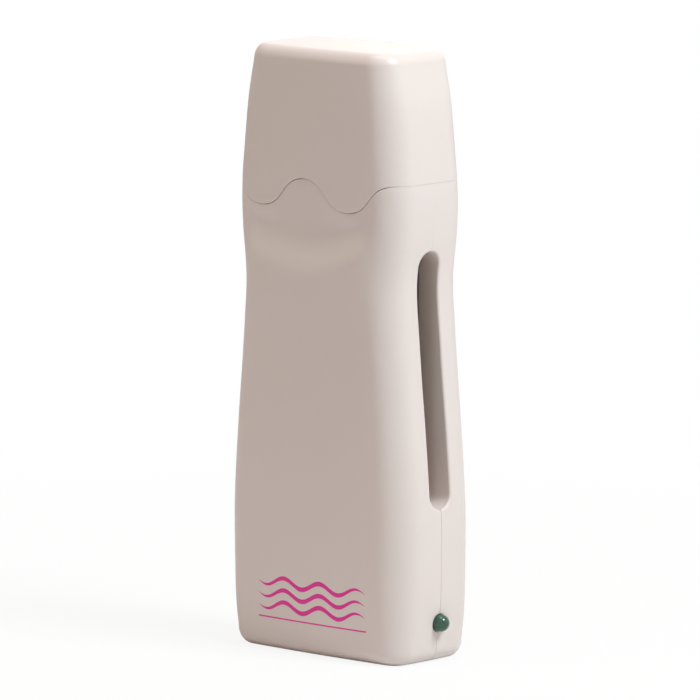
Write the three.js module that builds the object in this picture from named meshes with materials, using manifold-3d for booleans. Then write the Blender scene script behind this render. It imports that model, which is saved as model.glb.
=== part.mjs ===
import * as THREE from "three";
import { mergeVertices } from "three/addons/utils/BufferGeometryUtils.js";
import Module from "manifold-3d";

// A hand-held heater for a roll-on wax cartridge: two shells, a lift-off cap, a heated bay, its electrics.
// Lengths are in millimetres. The origin is the middle of the base, +Z is up and the front faces -Y.

const kernel = await Module();
kernel.setup();

// The cartridge that the bay takes. It is a consumable, so only its size is here.
const cartridgeWidth = 52;
const cartridgeDepth = 30;
const cartridgeHeight = 137;
const cartridgeCorner = 6;
const bayClearance = 0.5;
const capHeadroom = 26.2;

// Mouldings
const wall = 2;
const linerWall = 1.2;
const linerGap = 1.2;
const fit = 0.3;
const looseFit = 0.15;
const shelfThickness = 2;
const shelfLap = 2.5;
const collarWall = 1.8;
const collarLap = 3;
const collarRise = 9.4;
const deckThickness = 2;
const crownSagitta = 1.5;
const sideSagitta = 1;
const baseFillet = 5.2;
const topFillet = 4.5;
const topDome = 0.8;
const cornerRadius = 11.4;
const smallestCorner = 0.6;
const capHeight = 46.4;
const partingGap = 0.3;
const waveDepth = 10.5;
const waveCentre = -3.2;
const lobeSpacing = 20.2;
const waveSquareShare = 0.065;
const slotWidth = 10.5;
const slotBottomGap = 4.8;
const slotTopGap = 2.3;
const tunnelWall = 1.5;

// Screws and their posts
const postRadius = 3;
const postGap = 0.65;
const screwRadius = 1.45;
const screwHeadRadius = 2.3;
const screwHeadHeight = 1.6;
const screwLength = 12;
const screwSeat = 3;
const screwRecessRadius = 0.9;
const screwRecessDepth = 0.9;
const lowerScrewDrop = 20;

// Heater
const plateThickness = 1;
const plateWidth = 44;
const plateRise = 8;
const plateTopGap = 13.3;
const plateLap = 2.5;
const tabWidth = 40;
const tabLength = 18.6;
const elementWidth = 30;
const elementHeight = 40;
const elementThickness = 1.8;
const elementGap = 0.5;
const terminalWidth = 4;
const terminalThickness = 0.8;
const terminalLength = 5;
const terminalSpread = 16;
const sheetThickness = 0.3;
const sheetMargin = 2;

// Thermostat, its clip, and the fuse
const thermostatWidth = 19.5;
const thermostatHeight = 7.5;
const thermostatDepth = 3.8;
const thermostatSide = 9.5;
const thermostatTabLength = 3;
const thermostatTabHeight = 3;
const thermostatTabThickness = 0.6;
const clipWidth = 6;
const clipThickness = 0.5;
const clipFoot = 3.4;
const clipFit = 0.1;
const fuseRadius = 1.6;
const fuseLength = 9;
const leadRadius = 0.4;
const fuseLeadLength = 3.4;

// Mains inlet, a small two-pole type
const socketWidth = 16.4;
const socketHeight = 8.4;
const socketDepth = 12;
const inletWall = 2;
const inletBack = 2.4;
const flangeRim = 2.5;
const flangeThickness = 1.6;
const inletFloorGap = 9.3;
const inletTabGap = 1.3;
const noseRecess = 0.3;
const pinRadius = 1.2;
const pinPitch = 8.6;
const pinSetback = 2.5;
const pinTail = 6;
const receptacleWidth = 5;
const receptacleHeight = 4;
const receptacleLength = 7;
const receptacleGap = 0.5;

// Pilot lamp
const lampHeight = 14.4;
const lensRadius = 3.1;
const lensStandOut = 0.6;
const lensFlangeRadius = 4;
const lensFlangeThickness = 1.2;
const bulbRadius = 2.5;
const bulbLength = 13;
const bulbLeadSpread = 2.4;
const bulbLeadLength = 4;
const holderThickness = 5;
const holderMargin = 1.7;
const resistorRadius = 1.15;
const resistorLength = 6.5;
const resistorLeadLength = 3;

// Wires
const wireRadius = 0.85;
const lampWireRadius = 0.6;
const wireBend = 5;

// One overrun serves every cut, and one tolerance serves every merge.
const overrun = 4;
const mergeDistance = 0.001;

// Facet counts
const cornerSteps = 6;
const faceSteps = 4;
const sideSteps = 2;
const filletSteps = 4;
const bodyLevels = 18;
const waveSteps = 40;
const roundSides = 20;
const smallSides = 12;
const wireSides = 8;
const wireSteps = 20;

// Outline of the body, row by row from the base: shares of the height, and at that height the shares of
// the widest width, the deepest depth and the largest corner radius.
const profileShares = [
  [0, 0.933, 0.954, 0.754],
  [0.06, 0.96, 0.981, 0.83],
  [0.13, 0.981, 1, 0.936],
  [0.22, 1, 1, 1],
  [0.31, 0.981, 0.989, 0.978],
  [0.4, 0.942, 0.981, 0.93],
  [0.5, 0.895, 0.979, 0.91],
  [0.56, 0.87, 0.979, 0.9],
  [0.62, 0.855, 0.977, 0.895],
  [0.69, 0.898, 0.967, 0.908],
  [0.735, 0.915, 0.961, 0.916],
  [0.78, 0.912, 0.956, 0.921],
  [0.83, 0.89, 0.95, 0.92],
  [0.88, 0.864, 0.941, 0.893],
  [0.93, 0.825, 0.924, 0.821],
  [1, 0.765, 0.907, 0.737],
];
const waistRow = 8;
const [, waistWidthShare, waistDepthShare] = profileShares[waistRow];

// The bay
const bayWidth = cartridgeWidth + 2 * bayClearance;
const bayDepth = cartridgeDepth + 2 * bayClearance;
const bayCorner = cartridgeCorner + bayClearance;
const linerWidth = bayWidth + 2 * linerWall;
const linerDepth = bayDepth + 2 * linerWall;

// At the waist the shells close round the liner, the heater stack and the screw posts.
const frontStack = linerDepth / 2 + linerGap;
const rearStack = linerDepth / 2 + plateThickness + elementThickness + sheetThickness + elementGap;
const bodyDepth = (frontStack + rearStack + 2 * wall) / waistDepthShare;
const bodyWidth = (linerWidth + 4 * postGap + 4 * postRadius + 2 * wall) / waistWidthShare;
const bayY = (frontStack - rearStack) / 2;
const linerRear = bayY + linerDepth / 2;
const plateRear = linerRear + plateThickness;

// Heights, from the base up
const noseWidth = socketWidth + 2 * inletWall;
const noseHeight = socketHeight + 2 * inletWall;
const flangeWidth = noseWidth + 2 * flangeRim;
const flangeHeight = noseHeight + 2 * flangeRim;
const inletHeight = wall + inletFloorGap + flangeHeight / 2;
const tabBottom = inletHeight + flangeHeight / 2 + inletTabGap;
const linerBottom = tabBottom + tabLength;
const bayFloor = linerBottom + linerWall;
const thermostatHeightZ = tabBottom + clipFoot + clipFit + clipThickness + thermostatHeight / 2;
const overallHeight = bayFloor + cartridgeHeight + capHeadroom + wall;
const partingHeight = overallHeight - capHeight;
const collarSeat = partingHeight - waveDepth - collarLap;
const deckTop = partingHeight + collarRise;
const plateBottom = bayFloor + plateRise;
const plateHeight = collarSeat - plateTopGap - plateBottom;
const plateMiddle = plateBottom + plateHeight / 2;
const upperScrewHeight = collarSeat - shelfThickness - fit - postRadius;
const lowerScrewHeight = bayFloor - lowerScrewDrop;
const slotBottom = bayFloor + slotBottomGap;
const slotTop = upperScrewHeight - postRadius - slotTopGap;

// Materials
const finish = (color, roughness, metalness = 0) =>
  new THREE.MeshStandardMaterial({ color, roughness, metalness });
const ivoryPlastic = finish("#d8ccc3", 0.42);
const heatPlastic = finish("#b7a79b", 0.6);
const blackPlastic = finish("#26262a", 0.5);
const greenLens = finish("#0b5f3a", 0.15);
const lampGlass = finish("#cfd6d0", 0.1);
const aluminium = finish("#b9bcc0", 0.4, 0.9);
const springSteel = finish("#a3a6aa", 0.3, 1);
const tinnedBrass = finish("#c9c4b4", 0.3, 1);
const zincSteel = finish("#b8b9b4", 0.35, 1);
const amberFilm = finish("#b5742a", 0.5);
const ceramic = finish("#cfc4ae", 0.6);
const clearSleeve = finish("#e4e0d4", 0.5);
const blueWire = finish("#2f62b5", 0.5);
const brownWire = finish("#6a3b22", 0.5);
const whiteWire = finish("#e9e6de", 0.6);

// A closed geometry as a solid for cutting and joining.
function solid(geometry) {
  const bare = new THREE.BufferGeometry();
  bare.setAttribute("position", geometry.getAttribute("position"));
  bare.setIndex(geometry.index);
  const merged = mergeVertices(bare, mergeDistance);
  return new kernel.Manifold(
    new kernel.Mesh({
      numProp: 3,
      vertProperties: merged.attributes.position.array,
      triVerts: new Uint32Array(merged.index.array),
    }),
  );
}

// A cut or joined solid as geometry again.
function surface(shape) {
  const { vertProperties, triVerts } = shape.getMesh();
  const geometry = new THREE.BufferGeometry();
  geometry.setAttribute("position", new THREE.BufferAttribute(vertProperties, 3));
  geometry.setIndex(new THREE.BufferAttribute(triVerts, 1));
  geometry.computeVertexNormals();
  return geometry;
}

function piece(name, shape, material, x = 0, y = 0, z = 0) {
  const mesh = new THREE.Mesh(shape.isBufferGeometry ? shape : surface(shape), material);
  mesh.name = name;
  mesh.position.set(x, y, z);
  return mesh;
}

function assembly(...members) {
  const group = new THREE.Group();
  group.add(...members);
  return group;
}

const joined = (shapes) => shapes.reduce((sum, shape) => sum.add(shape));

// Box between two corners
function block([x0, y0, z0], [x1, y1, z1]) {
  const box = new THREE.BoxGeometry(x1 - x0, y1 - y0, z1 - z0);
  return solid(box.translate((x0 + x1) / 2, (y0 + y1) / 2, (z0 + z1) / 2));
}

// Cylinder that starts at a point and runs along +Y, or along +X with the turn given
function rod(radius, length, [x, y, z], sides = smallSides, alongX = false) {
  const cylinder = new THREE.CylinderGeometry(radius, radius, length, sides);
  cylinder.translate(0, length / 2, 0);
  if (alongX) cylinder.rotateZ(-Math.PI / 2);
  return solid(cylinder.translate(x, y, z));
}

// Points round a rectangle with round corners, anticlockwise from the right
function roundedPoints(halfWidth, halfHeight, radius) {
  const quadrants = [
    [1, 1],
    [-1, 1],
    [-1, -1],
    [1, -1],
  ];
  return quadrants.flatMap(([sideX, sideY], quadrant) =>
    Array.from({ length: cornerSteps + 1 }, (_, step) => {
      const angle = ((quadrant + step / cornerSteps) * Math.PI) / 2;
      return new THREE.Vector2(
        sideX * (halfWidth - radius) + radius * Math.cos(angle),
        sideY * (halfHeight - radius) + radius * Math.sin(angle),
      );
    }),
  );
}

// Rounded rectangle that runs along +Z from a height, +Y or +X
function roundedBar(width, height, radius, length) {
  const points = roundedPoints(width / 2, height / 2, radius);
  const apart = (point, at) => point.distanceTo(points[(at + 1) % points.length]) > mergeDistance;
  return new THREE.ExtrudeGeometry(new THREE.Shape(points.filter(apart)), {
    depth: length,
    bevelEnabled: false,
    curveSegments: 1,
  });
}

const turnToY = new THREE.Matrix4().makeBasis(
  new THREE.Vector3(-1, 0, 0),
  new THREE.Vector3(0, 0, 1),
  new THREE.Vector3(0, 1, 0),
);
const turnToX = new THREE.Matrix4().makeBasis(
  new THREE.Vector3(0, 1, 0),
  new THREE.Vector3(0, 0, 1),
  new THREE.Vector3(1, 0, 0),
);

// Half width, half depth and corner radius of the body at a height
const profile = new THREE.CubicInterpolant(
  profileShares.map(([heightShare]) => heightShare),
  profileShares.flatMap(([, ...shares]) => shares),
  3,
);

function sizesAt(z) {
  const share = THREE.MathUtils.clamp(z / overallHeight, 0, 1);
  const [widthShare, depthShare, cornerShare] = profile.evaluate(share);
  return {
    halfWidth: (bodyWidth / 2) * widthShare,
    halfDepth: (bodyDepth / 2) * depthShare,
    corner: cornerRadius * cornerShare,
  };
}

// Y of the back face of the body at a place on it
function backAt(x, z) {
  const { halfWidth, halfDepth } = sizesAt(z);
  return halfDepth - crownSagitta * (x / halfWidth) ** 2;
}

// Body outline at a height, moved inwards by the inset, with crowned faces
function outline(z, inset) {
  const { halfWidth, halfDepth, corner } = sizesAt(z);
  const radius = Math.max(corner - inset, smallestCorner);
  const corners = roundedPoints(halfWidth - inset, halfDepth - inset, radius);
  const points = corners.flatMap((point, at) => {
    const next = corners[(at + 1) % corners.length];
    const quadrant = Math.floor(at / (cornerSteps + 1));
    const steps = (at + 1) % (cornerSteps + 1) ? 1 : quadrant % 2 ? sideSteps : faceSteps;
    return Array.from({ length: steps }, (_, step) => point.clone().lerp(next, step / steps));
  });
  return points.map(({ x, y }) => [
    x * (1 - (sideSagitta / halfWidth) * (y / halfDepth) ** 2),
    y * (1 - (crownSagitta / halfDepth) * (x / halfWidth) ** 2),
    z,
  ]);
}

// Solid between two heights that follows the body outline, with rounded ends where a fillet is given
function loft({ bottom, top, inset, lowFillet = 0, highFillet = 0, dome = 0, levels = bodyLevels }) {
  const quarter = Array.from({ length: filletSteps }, (_, step) => (step / filletSteps) * (Math.PI / 2));
  const straight = top - highFillet - bottom - lowFillet;
  const rings = [
    ...(lowFillet ? quarter : []).map((angle) =>
      outline(bottom + lowFillet * (1 - Math.cos(angle)), inset + lowFillet * (1 - Math.sin(angle))),
    ),
    ...Array.from({ length: levels + 1 }, (_, level) =>
      outline(bottom + lowFillet + (straight * level) / levels, inset),
    ),
    ...(highFillet ? quarter : []).reverse().map((angle) =>
      outline(top - highFillet * (1 - Math.cos(angle)), inset + highFillet * (1 - Math.sin(angle))),
    ),
  ];
  const count = rings[0].length;
  const last = (rings.length - 1) * count;
  const foot = rings.length * count;
  const crown = foot + 1;
  const index = [];
  for (let at = 0; at < count; at++) {
    const next = (at + 1) % count;
    for (let low = 0; low < last; low += count) {
      index.push(low + at, low + next, low + count + next);
      index.push(low + at, low + count + next, low + count + at);
    }
    index.push(foot, next, at);
    index.push(crown, last + at, last + next);
  }
  const places = [...rings.flat(), [0, 0, bottom], [0, 0, top + dome]];
  const geometry = new THREE.BufferGeometry();
  geometry.setAttribute("position", new THREE.Float32BufferAttribute(places.flat(), 3));
  geometry.setIndex(index);
  return solid(geometry);
}

// Height of the line where cap and body part, which dips in two lobes on each face
function partingAt(x) {
  const span = Math.min(Math.abs(x - waveCentre) / lobeSpacing, 2);
  const dip = (1 - Math.cos(Math.PI * span)) / 2;
  return partingHeight - waveDepth * (dip - waveSquareShare * Math.sin(2 * Math.PI * dip));
}

// Everything above the parting line, raised by a gap
function abovePart(gap) {
  const reach = bodyWidth / 2 + overrun;
  const points = Array.from({ length: waveSteps + 1 }, (_, step) => {
    const x = reach * ((2 * step) / waveSteps - 1);
    return new THREE.Vector2(-x, partingAt(x) + gap);
  }).reverse();
  points.push(new THREE.Vector2(reach, overallHeight + overrun));
  points.push(new THREE.Vector2(-reach, overallHeight + overrun));
  const depth = bodyDepth + 2 * overrun;
  const plate = new THREE.ExtrudeGeometry(new THREE.Shape(points), { depth, bevelEnabled: false });
  return solid(plate.applyMatrix4(turnToY).translate(0, -depth / 2, 0));
}

// Body solids that several pieces are cut from
const outer = loft({
  bottom: 0,
  top: overallHeight - topDome,
  inset: 0,
  lowFillet: baseFillet,
  highFillet: topFillet,
  dome: topDome,
});
const cavity = loft({
  bottom: wall,
  top: overallHeight - topDome - wall,
  inset: wall,
  lowFillet: baseFillet - wall,
  highFillet: topFillet - wall,
});
const skin = outer.subtract(cavity);

// Shelf across the shells, with its top face at a height
function shelf(top) {
  return loft({ bottom: top - shelfThickness, top, inset: wall / 2, levels: 1 });
}

// Bar through both sides along the window slots, which are cut in the shells and in the liner
function slotBar(margin) {
  const width = slotWidth + 2 * margin;
  const height = slotTop - slotBottom + 2 * margin;
  const reach = bodyWidth + 2 * overrun;
  const bar = roundedBar(width, height, width / 2, reach).applyMatrix4(turnToX);
  return solid(bar.translate(-reach / 2, 0, (slotTop + slotBottom) / 2));
}

// Screw places: in the space between the liner and the side walls
const screwPlaces = [lowerScrewHeight, upperScrewHeight].flatMap((z) => {
  const x = (linerWidth / 2 + sizesAt(z).halfWidth - wall) / 2;
  return [
    [-x, z],
    [x, z],
  ];
});

// Bar round the middle of the bay, between two heights
const bayBar = (width, depth, radius, low, high) =>
  solid(roundedBar(width, depth, radius, high - low).translate(0, bayY, low));

const sideAtLamp = sizesAt(lampHeight).halfWidth;
const noseFace = backAt(0, inletHeight) - noseRecess;
const flangeFace = backAt(flangeWidth / 2, inletHeight - flangeHeight / 2) - wall - fit;
const tabHalf = tabWidth / 2;

function shells() {
  const halfDepth = bodyDepth / 2;
  const posts = screwPlaces.map(([x, z]) => rod(postRadius, bodyDepth, [x, -halfDepth, z]));
  const passage = tabHalf + 6 * wireRadius;
  const wirePassage = block(
    [-passage, linerRear - fit, linerBottom - shelfThickness - overrun],
    [passage, halfDepth - wall - fit, linerBottom + overrun],
  );
  const bayOpening = bayBar(
    linerWidth - 2 * shelfLap,
    linerDepth - 2 * shelfLap,
    bayCorner,
    linerBottom - shelfThickness - overrun,
    linerBottom + overrun,
  );
  const linerRoom = bayBar(
    linerWidth + 2 * fit,
    linerDepth + 2 * fit,
    bayCorner + linerWall + fit,
    linerBottom,
    deckTop,
  );
  const linerSide = linerWidth / 2 + fit;
  const betweenTunnels = block([-linerSide, -halfDepth, linerBottom], [linerSide, halfDepth, deckTop]);
  const lensHole = rod(
    lensRadius + looseFit,
    wall + 2 * overrun,
    [sideAtLamp - wall - overrun, 0, lampHeight],
    roundSides,
    true,
  );
  const whole = skin
    .add(shelf(collarSeat).subtract(linerRoom))
    .add(shelf(linerBottom).subtract(bayOpening).subtract(wirePassage))
    .add(joined(posts).intersect(outer))
    .add(slotBar(tunnelWall).subtract(betweenTunnels).intersect(outer))
    .subtract(slotBar(0))
    .subtract(lensHole)
    .subtract(abovePart(-partingGap / 2));
  const reach = bodyWidth / 2 + overrun;
  const deep = halfDepth + overrun;
  const tall = overallHeight + overrun;
  const frontHalf = block([-reach, -deep, -overrun], [reach, 0, tall]);
  const rearHalf = block([-reach, 0, -overrun], [reach, deep, tall]);
  const tip = screwLength - screwSeat;
  const pilots = screwPlaces.map(([x, z]) =>
    rod(screwRadius + looseFit, tip + fit + overrun, [x, -tip - fit, z]),
  );
  const wells = screwPlaces.flatMap(([x, z]) => [
    rod(screwRadius + fit, screwSeat + 2 * overrun, [x, -overrun, z]),
    rod(screwHeadRadius + fit, halfDepth + overrun, [x, screwSeat, z], smallSides),
  ]);
  const noseHole = solid(
    roundedBar(noseWidth + 2 * fit, noseHeight + 2 * fit, noseHeight / 2 + fit, wall + 2 * overrun)
      .applyMatrix4(turnToY)
      .translate(0, halfDepth - wall - overrun, inletHeight),
  );
  return [
    piece("front_shell", whole.intersect(frontHalf).subtract(joined(pilots)), ivoryPlastic),
    piece(
      "rear_shell",
      whole.intersect(rearHalf).subtract(joined(wells)).subtract(noseHole),
      ivoryPlastic,
    ),
  ];
}

// Pan-head screw with its seat at the origin and its tip towards -Y
function screw() {
  const outlinePoints = [
    [0, -screwLength],
    [screwRadius, -screwLength + 2 * screwRadius],
    [screwRadius, 0],
    [screwHeadRadius, 0],
    [screwHeadRadius, screwHeadHeight / 2],
    [screwHeadRadius - screwHeadHeight / 2, screwHeadHeight],
    [screwRecessRadius, screwHeadHeight],
    [0, screwHeadHeight - screwRecessDepth],
  ];
  const points = outlinePoints.map(([x, y]) => new THREE.Vector2(x, y));
  return surface(solid(new THREE.LatheGeometry(points, smallSides)));
}

function screws() {
  return screwPlaces.map(([x, z], at) =>
    piece("shell_screw_" + (at + 1), screw(), zincSteel, x, screwSeat, z),
  );
}

// Collar: a skirt inside the shells and the cap, a deck, and the mouth of the bay down to the liner
function neckCollar() {
  const levels = 5;
  const inset = wall + fit;
  const skirt = loft({ bottom: collarSeat, top: deckTop, inset, levels });
  const inside = loft({
    bottom: collarSeat - overrun,
    top: deckTop - deckThickness,
    inset: inset + collarWall,
    levels,
  });
  const throat = bayBar(linerWidth, linerDepth, bayCorner + linerWall, collarSeat - 2 * overrun, deckTop);
  const mouth = bayBar(bayWidth, bayDepth, bayCorner, collarSeat - overrun, deckTop + overrun);
  return piece("neck_collar", skirt.subtract(inside.subtract(throat)).subtract(mouth), heatPlastic);
}

// Window in the back of the liner that the pad of the heat plate fills
const windowWidth = plateWidth - 2 * plateLap;
const windowHeight = plateHeight - 2 * plateLap;

function bayLiner() {
  const outside = bayBar(linerWidth, linerDepth, bayCorner + linerWall, linerBottom, collarSeat);
  const inside = bayBar(bayWidth, bayDepth, bayCorner, bayFloor, collarSeat + overrun);
  const window = block(
    [-windowWidth / 2, linerRear - linerWall - overrun, plateMiddle - windowHeight / 2],
    [windowWidth / 2, linerRear + overrun, plateMiddle + windowHeight / 2],
  );
  return piece("bay_liner", outside.subtract(inside).subtract(window).subtract(slotBar(0)), heatPlastic);
}

// Heat plate: a pad flush with the bay wall, a base behind the liner and a tab down to the thermostat
function heatPlate() {
  const base = block(
    [-plateWidth / 2, linerRear, plateBottom],
    [plateWidth / 2, plateRear, plateBottom + plateHeight],
  );
  const pad = block(
    [fit - windowWidth / 2, linerRear - linerWall, plateMiddle - windowHeight / 2 + fit],
    [windowWidth / 2 - fit, plateRear, plateMiddle + windowHeight / 2 - fit],
  );
  const tab = block([-tabHalf, linerRear, tabBottom], [tabHalf, plateRear, plateMiddle]);
  return piece("heat_plate", joined([base, pad, tab]), aluminium);
}

const elementBottom = plateMiddle - elementHeight / 2;
const elementRear = plateRear + elementThickness;

function heatingElement() {
  const body = block(
    [-elementWidth / 2, plateRear, elementBottom],
    [elementWidth / 2, elementRear, elementBottom + elementHeight],
  );
  const terminalFront = plateRear + (elementThickness - terminalThickness) / 2;
  const terminals = [-1, 1].map((side) => {
    const left = (side * terminalSpread - terminalWidth) / 2;
    return block(
      [left, terminalFront, elementBottom - terminalLength],
      [left + terminalWidth, terminalFront + terminalThickness, plateMiddle],
    );
  });
  return piece("heating_element", joined([body, ...terminals]), ceramic);
}

function insulatingSheet() {
  const halfWidth = elementWidth / 2 + sheetMargin;
  const sheet = block(
    [-halfWidth, elementRear, elementBottom - sheetMargin],
    [halfWidth, elementRear + sheetThickness, elementBottom + elementHeight + sheetMargin],
  );
  return piece("insulating_sheet", sheet, amberFilm);
}

const thermostatFront = linerRear - thermostatDepth;
const thermostatMiddle = linerRear - thermostatDepth / 2;

function thermostat() {
  const halfWidth = thermostatWidth / 2;
  const body = block(
    [-halfWidth, thermostatFront, -thermostatHeight / 2],
    [halfWidth, linerRear, thermostatHeight / 2],
  );
  const reach = halfWidth + thermostatTabLength;
  const tabs = block(
    [-reach, thermostatMiddle - thermostatTabThickness / 2, -thermostatTabHeight / 2],
    [reach, thermostatMiddle + thermostatTabThickness / 2, thermostatTabHeight / 2],
  );
  return piece("thermostat", body.add(tabs), blackPlastic, -thermostatSide, 0, thermostatHeightZ);
}

// Spring clip over the thermostat, with a foot on the tab above and below it
function thermostatClip() {
  const inner = thermostatHeight / 2 + clipFit;
  const leg = inner + clipThickness;
  const foot = leg + clipFoot;
  const crest = thermostatFront - clipFit;
  const half = [
    [leg, linerRear - clipThickness],
    [foot, linerRear - clipThickness],
    [foot, linerRear],
    [inner, linerRear],
    [inner, crest],
  ];
  const outside = [[leg, crest - clipThickness], ...half];
  const mirrored = outside.map(([z, y]) => [-z, y]).reverse();
  const points = [...outside, ...mirrored].map(([z, y]) => new THREE.Vector2(y, z));
  const strip = new THREE.ExtrudeGeometry(new THREE.Shape(points), {
    depth: clipWidth,
    bevelEnabled: false,
  });
  strip.applyMatrix4(turnToX).translate(-clipWidth / 2, 0, 0);
  return piece("thermostat_clip", strip, springSteel, -thermostatSide, 0, thermostatHeightZ);
}

const thermostatEnd = -thermostatSide - thermostatWidth / 2 - thermostatTabLength - fit;
const fuseY = linerRear - fuseRadius - clipFit;
const fuseLeft = thermostatWidth / 2 - thermostatSide + thermostatTabLength + fit;
const fuseRight = fuseLeft + 2 * fuseLeadLength + fuseLength;

function thermalFuse() {
  const body = rod(fuseRadius, fuseLength, [fuseLeft + fuseLeadLength, fuseY, 0], smallSides, true);
  const lead = rod(leadRadius, fuseRight - fuseLeft, [fuseLeft, fuseY, 0], wireSides, true);
  return piece("thermal_fuse", body.add(lead), clearSleeve, 0, 0, thermostatHeightZ);
}

// Inlet: measured from its nose face, which points to +Y
const inletDepth = socketDepth + inletBack;
const receptacleBack = -inletDepth - receptacleGap;
const wireStart = noseFace + receptacleBack - receptacleLength - fit;

function inletBody() {
  const bar = (width, height, length, start) =>
    solid(roundedBar(width, height, height / 2, length).applyMatrix4(turnToY).translate(0, start, 0));
  const nose = bar(noseWidth, noseHeight, inletDepth, -inletDepth);
  const flange = bar(flangeWidth, flangeHeight, flangeThickness, flangeFace - flangeThickness - noseFace);
  const socket = bar(socketWidth, socketHeight, socketDepth + overrun, -socketDepth);
  const holes = [-1, 1].map((side) =>
    rod(pinRadius + looseFit, inletDepth, [(side * pinPitch) / 2, -inletDepth - overrun, 0]),
  );
  const body = nose.add(flange).subtract(socket).subtract(joined(holes));
  return piece("inlet_body", body, blackPlastic, 0, noseFace, inletHeight);
}

function inletPins() {
  const length = inletDepth - pinSetback + pinTail;
  return ["inlet_pin_left", "inlet_pin_right"].map((name, at) => {
    const pin = rod(pinRadius, length, [0, -inletDepth - pinTail, 0]);
    return piece(name, pin, tinnedBrass, (at - 0.5) * pinPitch, noseFace, inletHeight);
  });
}

function receptacles() {
  const half = receptacleWidth / 2;
  const sleeve = block(
    [-half, receptacleBack - receptacleLength, -receptacleHeight / 2],
    [half, receptacleBack, receptacleHeight / 2],
  );
  const bore = rod(pinRadius + looseFit, pinTail + overrun, [0, -inletDepth - pinTail - fit, 0]);
  return ["receptacle_left", "receptacle_right"].map((name, at) =>
    piece(name, sleeve.subtract(bore), tinnedBrass, (at - 0.5) * pinPitch, noseFace, inletHeight),
  );
}

// Lathe profile, turned to point along +X
function lathed(outlinePoints) {
  const points = outlinePoints.map(([x, y]) => new THREE.Vector2(x, y));
  return surface(solid(new THREE.LatheGeometry(points, roundSides).rotateZ(-Math.PI / 2)));
}

const quarterArc = (radius) =>
  Array.from({ length: filletSteps + 1 }, (_, step) => {
    const angle = (step / filletSteps) * (Math.PI / 2);
    return [radius * Math.cos(angle), radius * Math.sin(angle)];
  });

const lensSeat = sizesAt(lampHeight - lensFlangeRadius).halfWidth - wall - fit;
const lensInside = lensSeat - lensFlangeThickness;
const bulbInside = lensInside - fit - bulbLength;

function lampLens() {
  const stem = sideAtLamp + lensStandOut - lensInside;
  const dome = quarterArc(lensRadius).map(([r, y]) => [r, y + stem]);
  const lens = lathed([
    [0, 0],
    [lensFlangeRadius, 0],
    [lensFlangeRadius, lensFlangeThickness],
    [lensRadius, lensFlangeThickness],
    ...dome,
  ]);
  return piece("lamp_lens", lens, greenLens, lensInside, 0, lampHeight);
}

function lampBulb() {
  const straight = bulbLength - bulbRadius;
  const tip = quarterArc(bulbRadius).map(([r, y]) => [r, y + straight]);
  const glass = solid(lathed([[0, 0], [bulbRadius, 0], ...tip]));
  const leads = [-1, 1].map((side) =>
    rod(
      leadRadius,
      bulbLeadLength + bulbRadius,
      [-bulbLeadLength, (side * bulbLeadSpread) / 2, 0],
      wireSides,
      true,
    ),
  );
  return piece("lamp_bulb", joined([glass, ...leads]), lampGlass, bulbInside, 0, lampHeight);
}

function lampHolder() {
  const half = bulbRadius + holderMargin;
  const middle = bulbInside + (bulbLength - bulbRadius) / 2;
  const stand = block(
    [middle - holderThickness / 2, -half, wall],
    [middle + holderThickness / 2, half, lampHeight + half],
  );
  const bore = rod(
    bulbRadius + looseFit,
    holderThickness + 2 * overrun,
    [middle - holderThickness / 2 - overrun, 0, lampHeight],
    roundSides,
    true,
  );
  return piece("lamp_holder", stand.subtract(bore), heatPlastic);
}

const resistorEnd = bulbInside - bulbLeadLength - fit;
const resistorStart = resistorEnd - resistorLength - 2 * resistorLeadLength;
const lampLeadY = bulbLeadSpread / 2;

function lampResistor() {
  const length = resistorEnd - resistorStart;
  const body = rod(resistorRadius, resistorLength, [resistorLeadLength, 0, 0], smallSides, true);
  const lead = rod(leadRadius, length, [0, 0, 0], wireSides, true);
  return piece("lamp_resistor", body.add(lead), ceramic, resistorStart, -lampLeadY, lampHeight);
}

// A round wire through its points
function wire(name, radius, points, material) {
  const route = new THREE.CatmullRomCurve3(
    points.map((point) => new THREE.Vector3(...point)),
    false,
    "centripetal",
  );
  const ring = Array.from({ length: wireSides }, (_, side) => {
    const angle = (side / wireSides) * 2 * Math.PI;
    return new THREE.Vector2(radius * Math.cos(angle), radius * Math.sin(angle));
  });
  const tube = new THREE.ExtrudeGeometry(new THREE.Shape(ring), {
    steps: wireSteps,
    extrudePath: route,
    bevelEnabled: false,
  });
  return piece(name, surface(solid(tube)), material);
}

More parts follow.
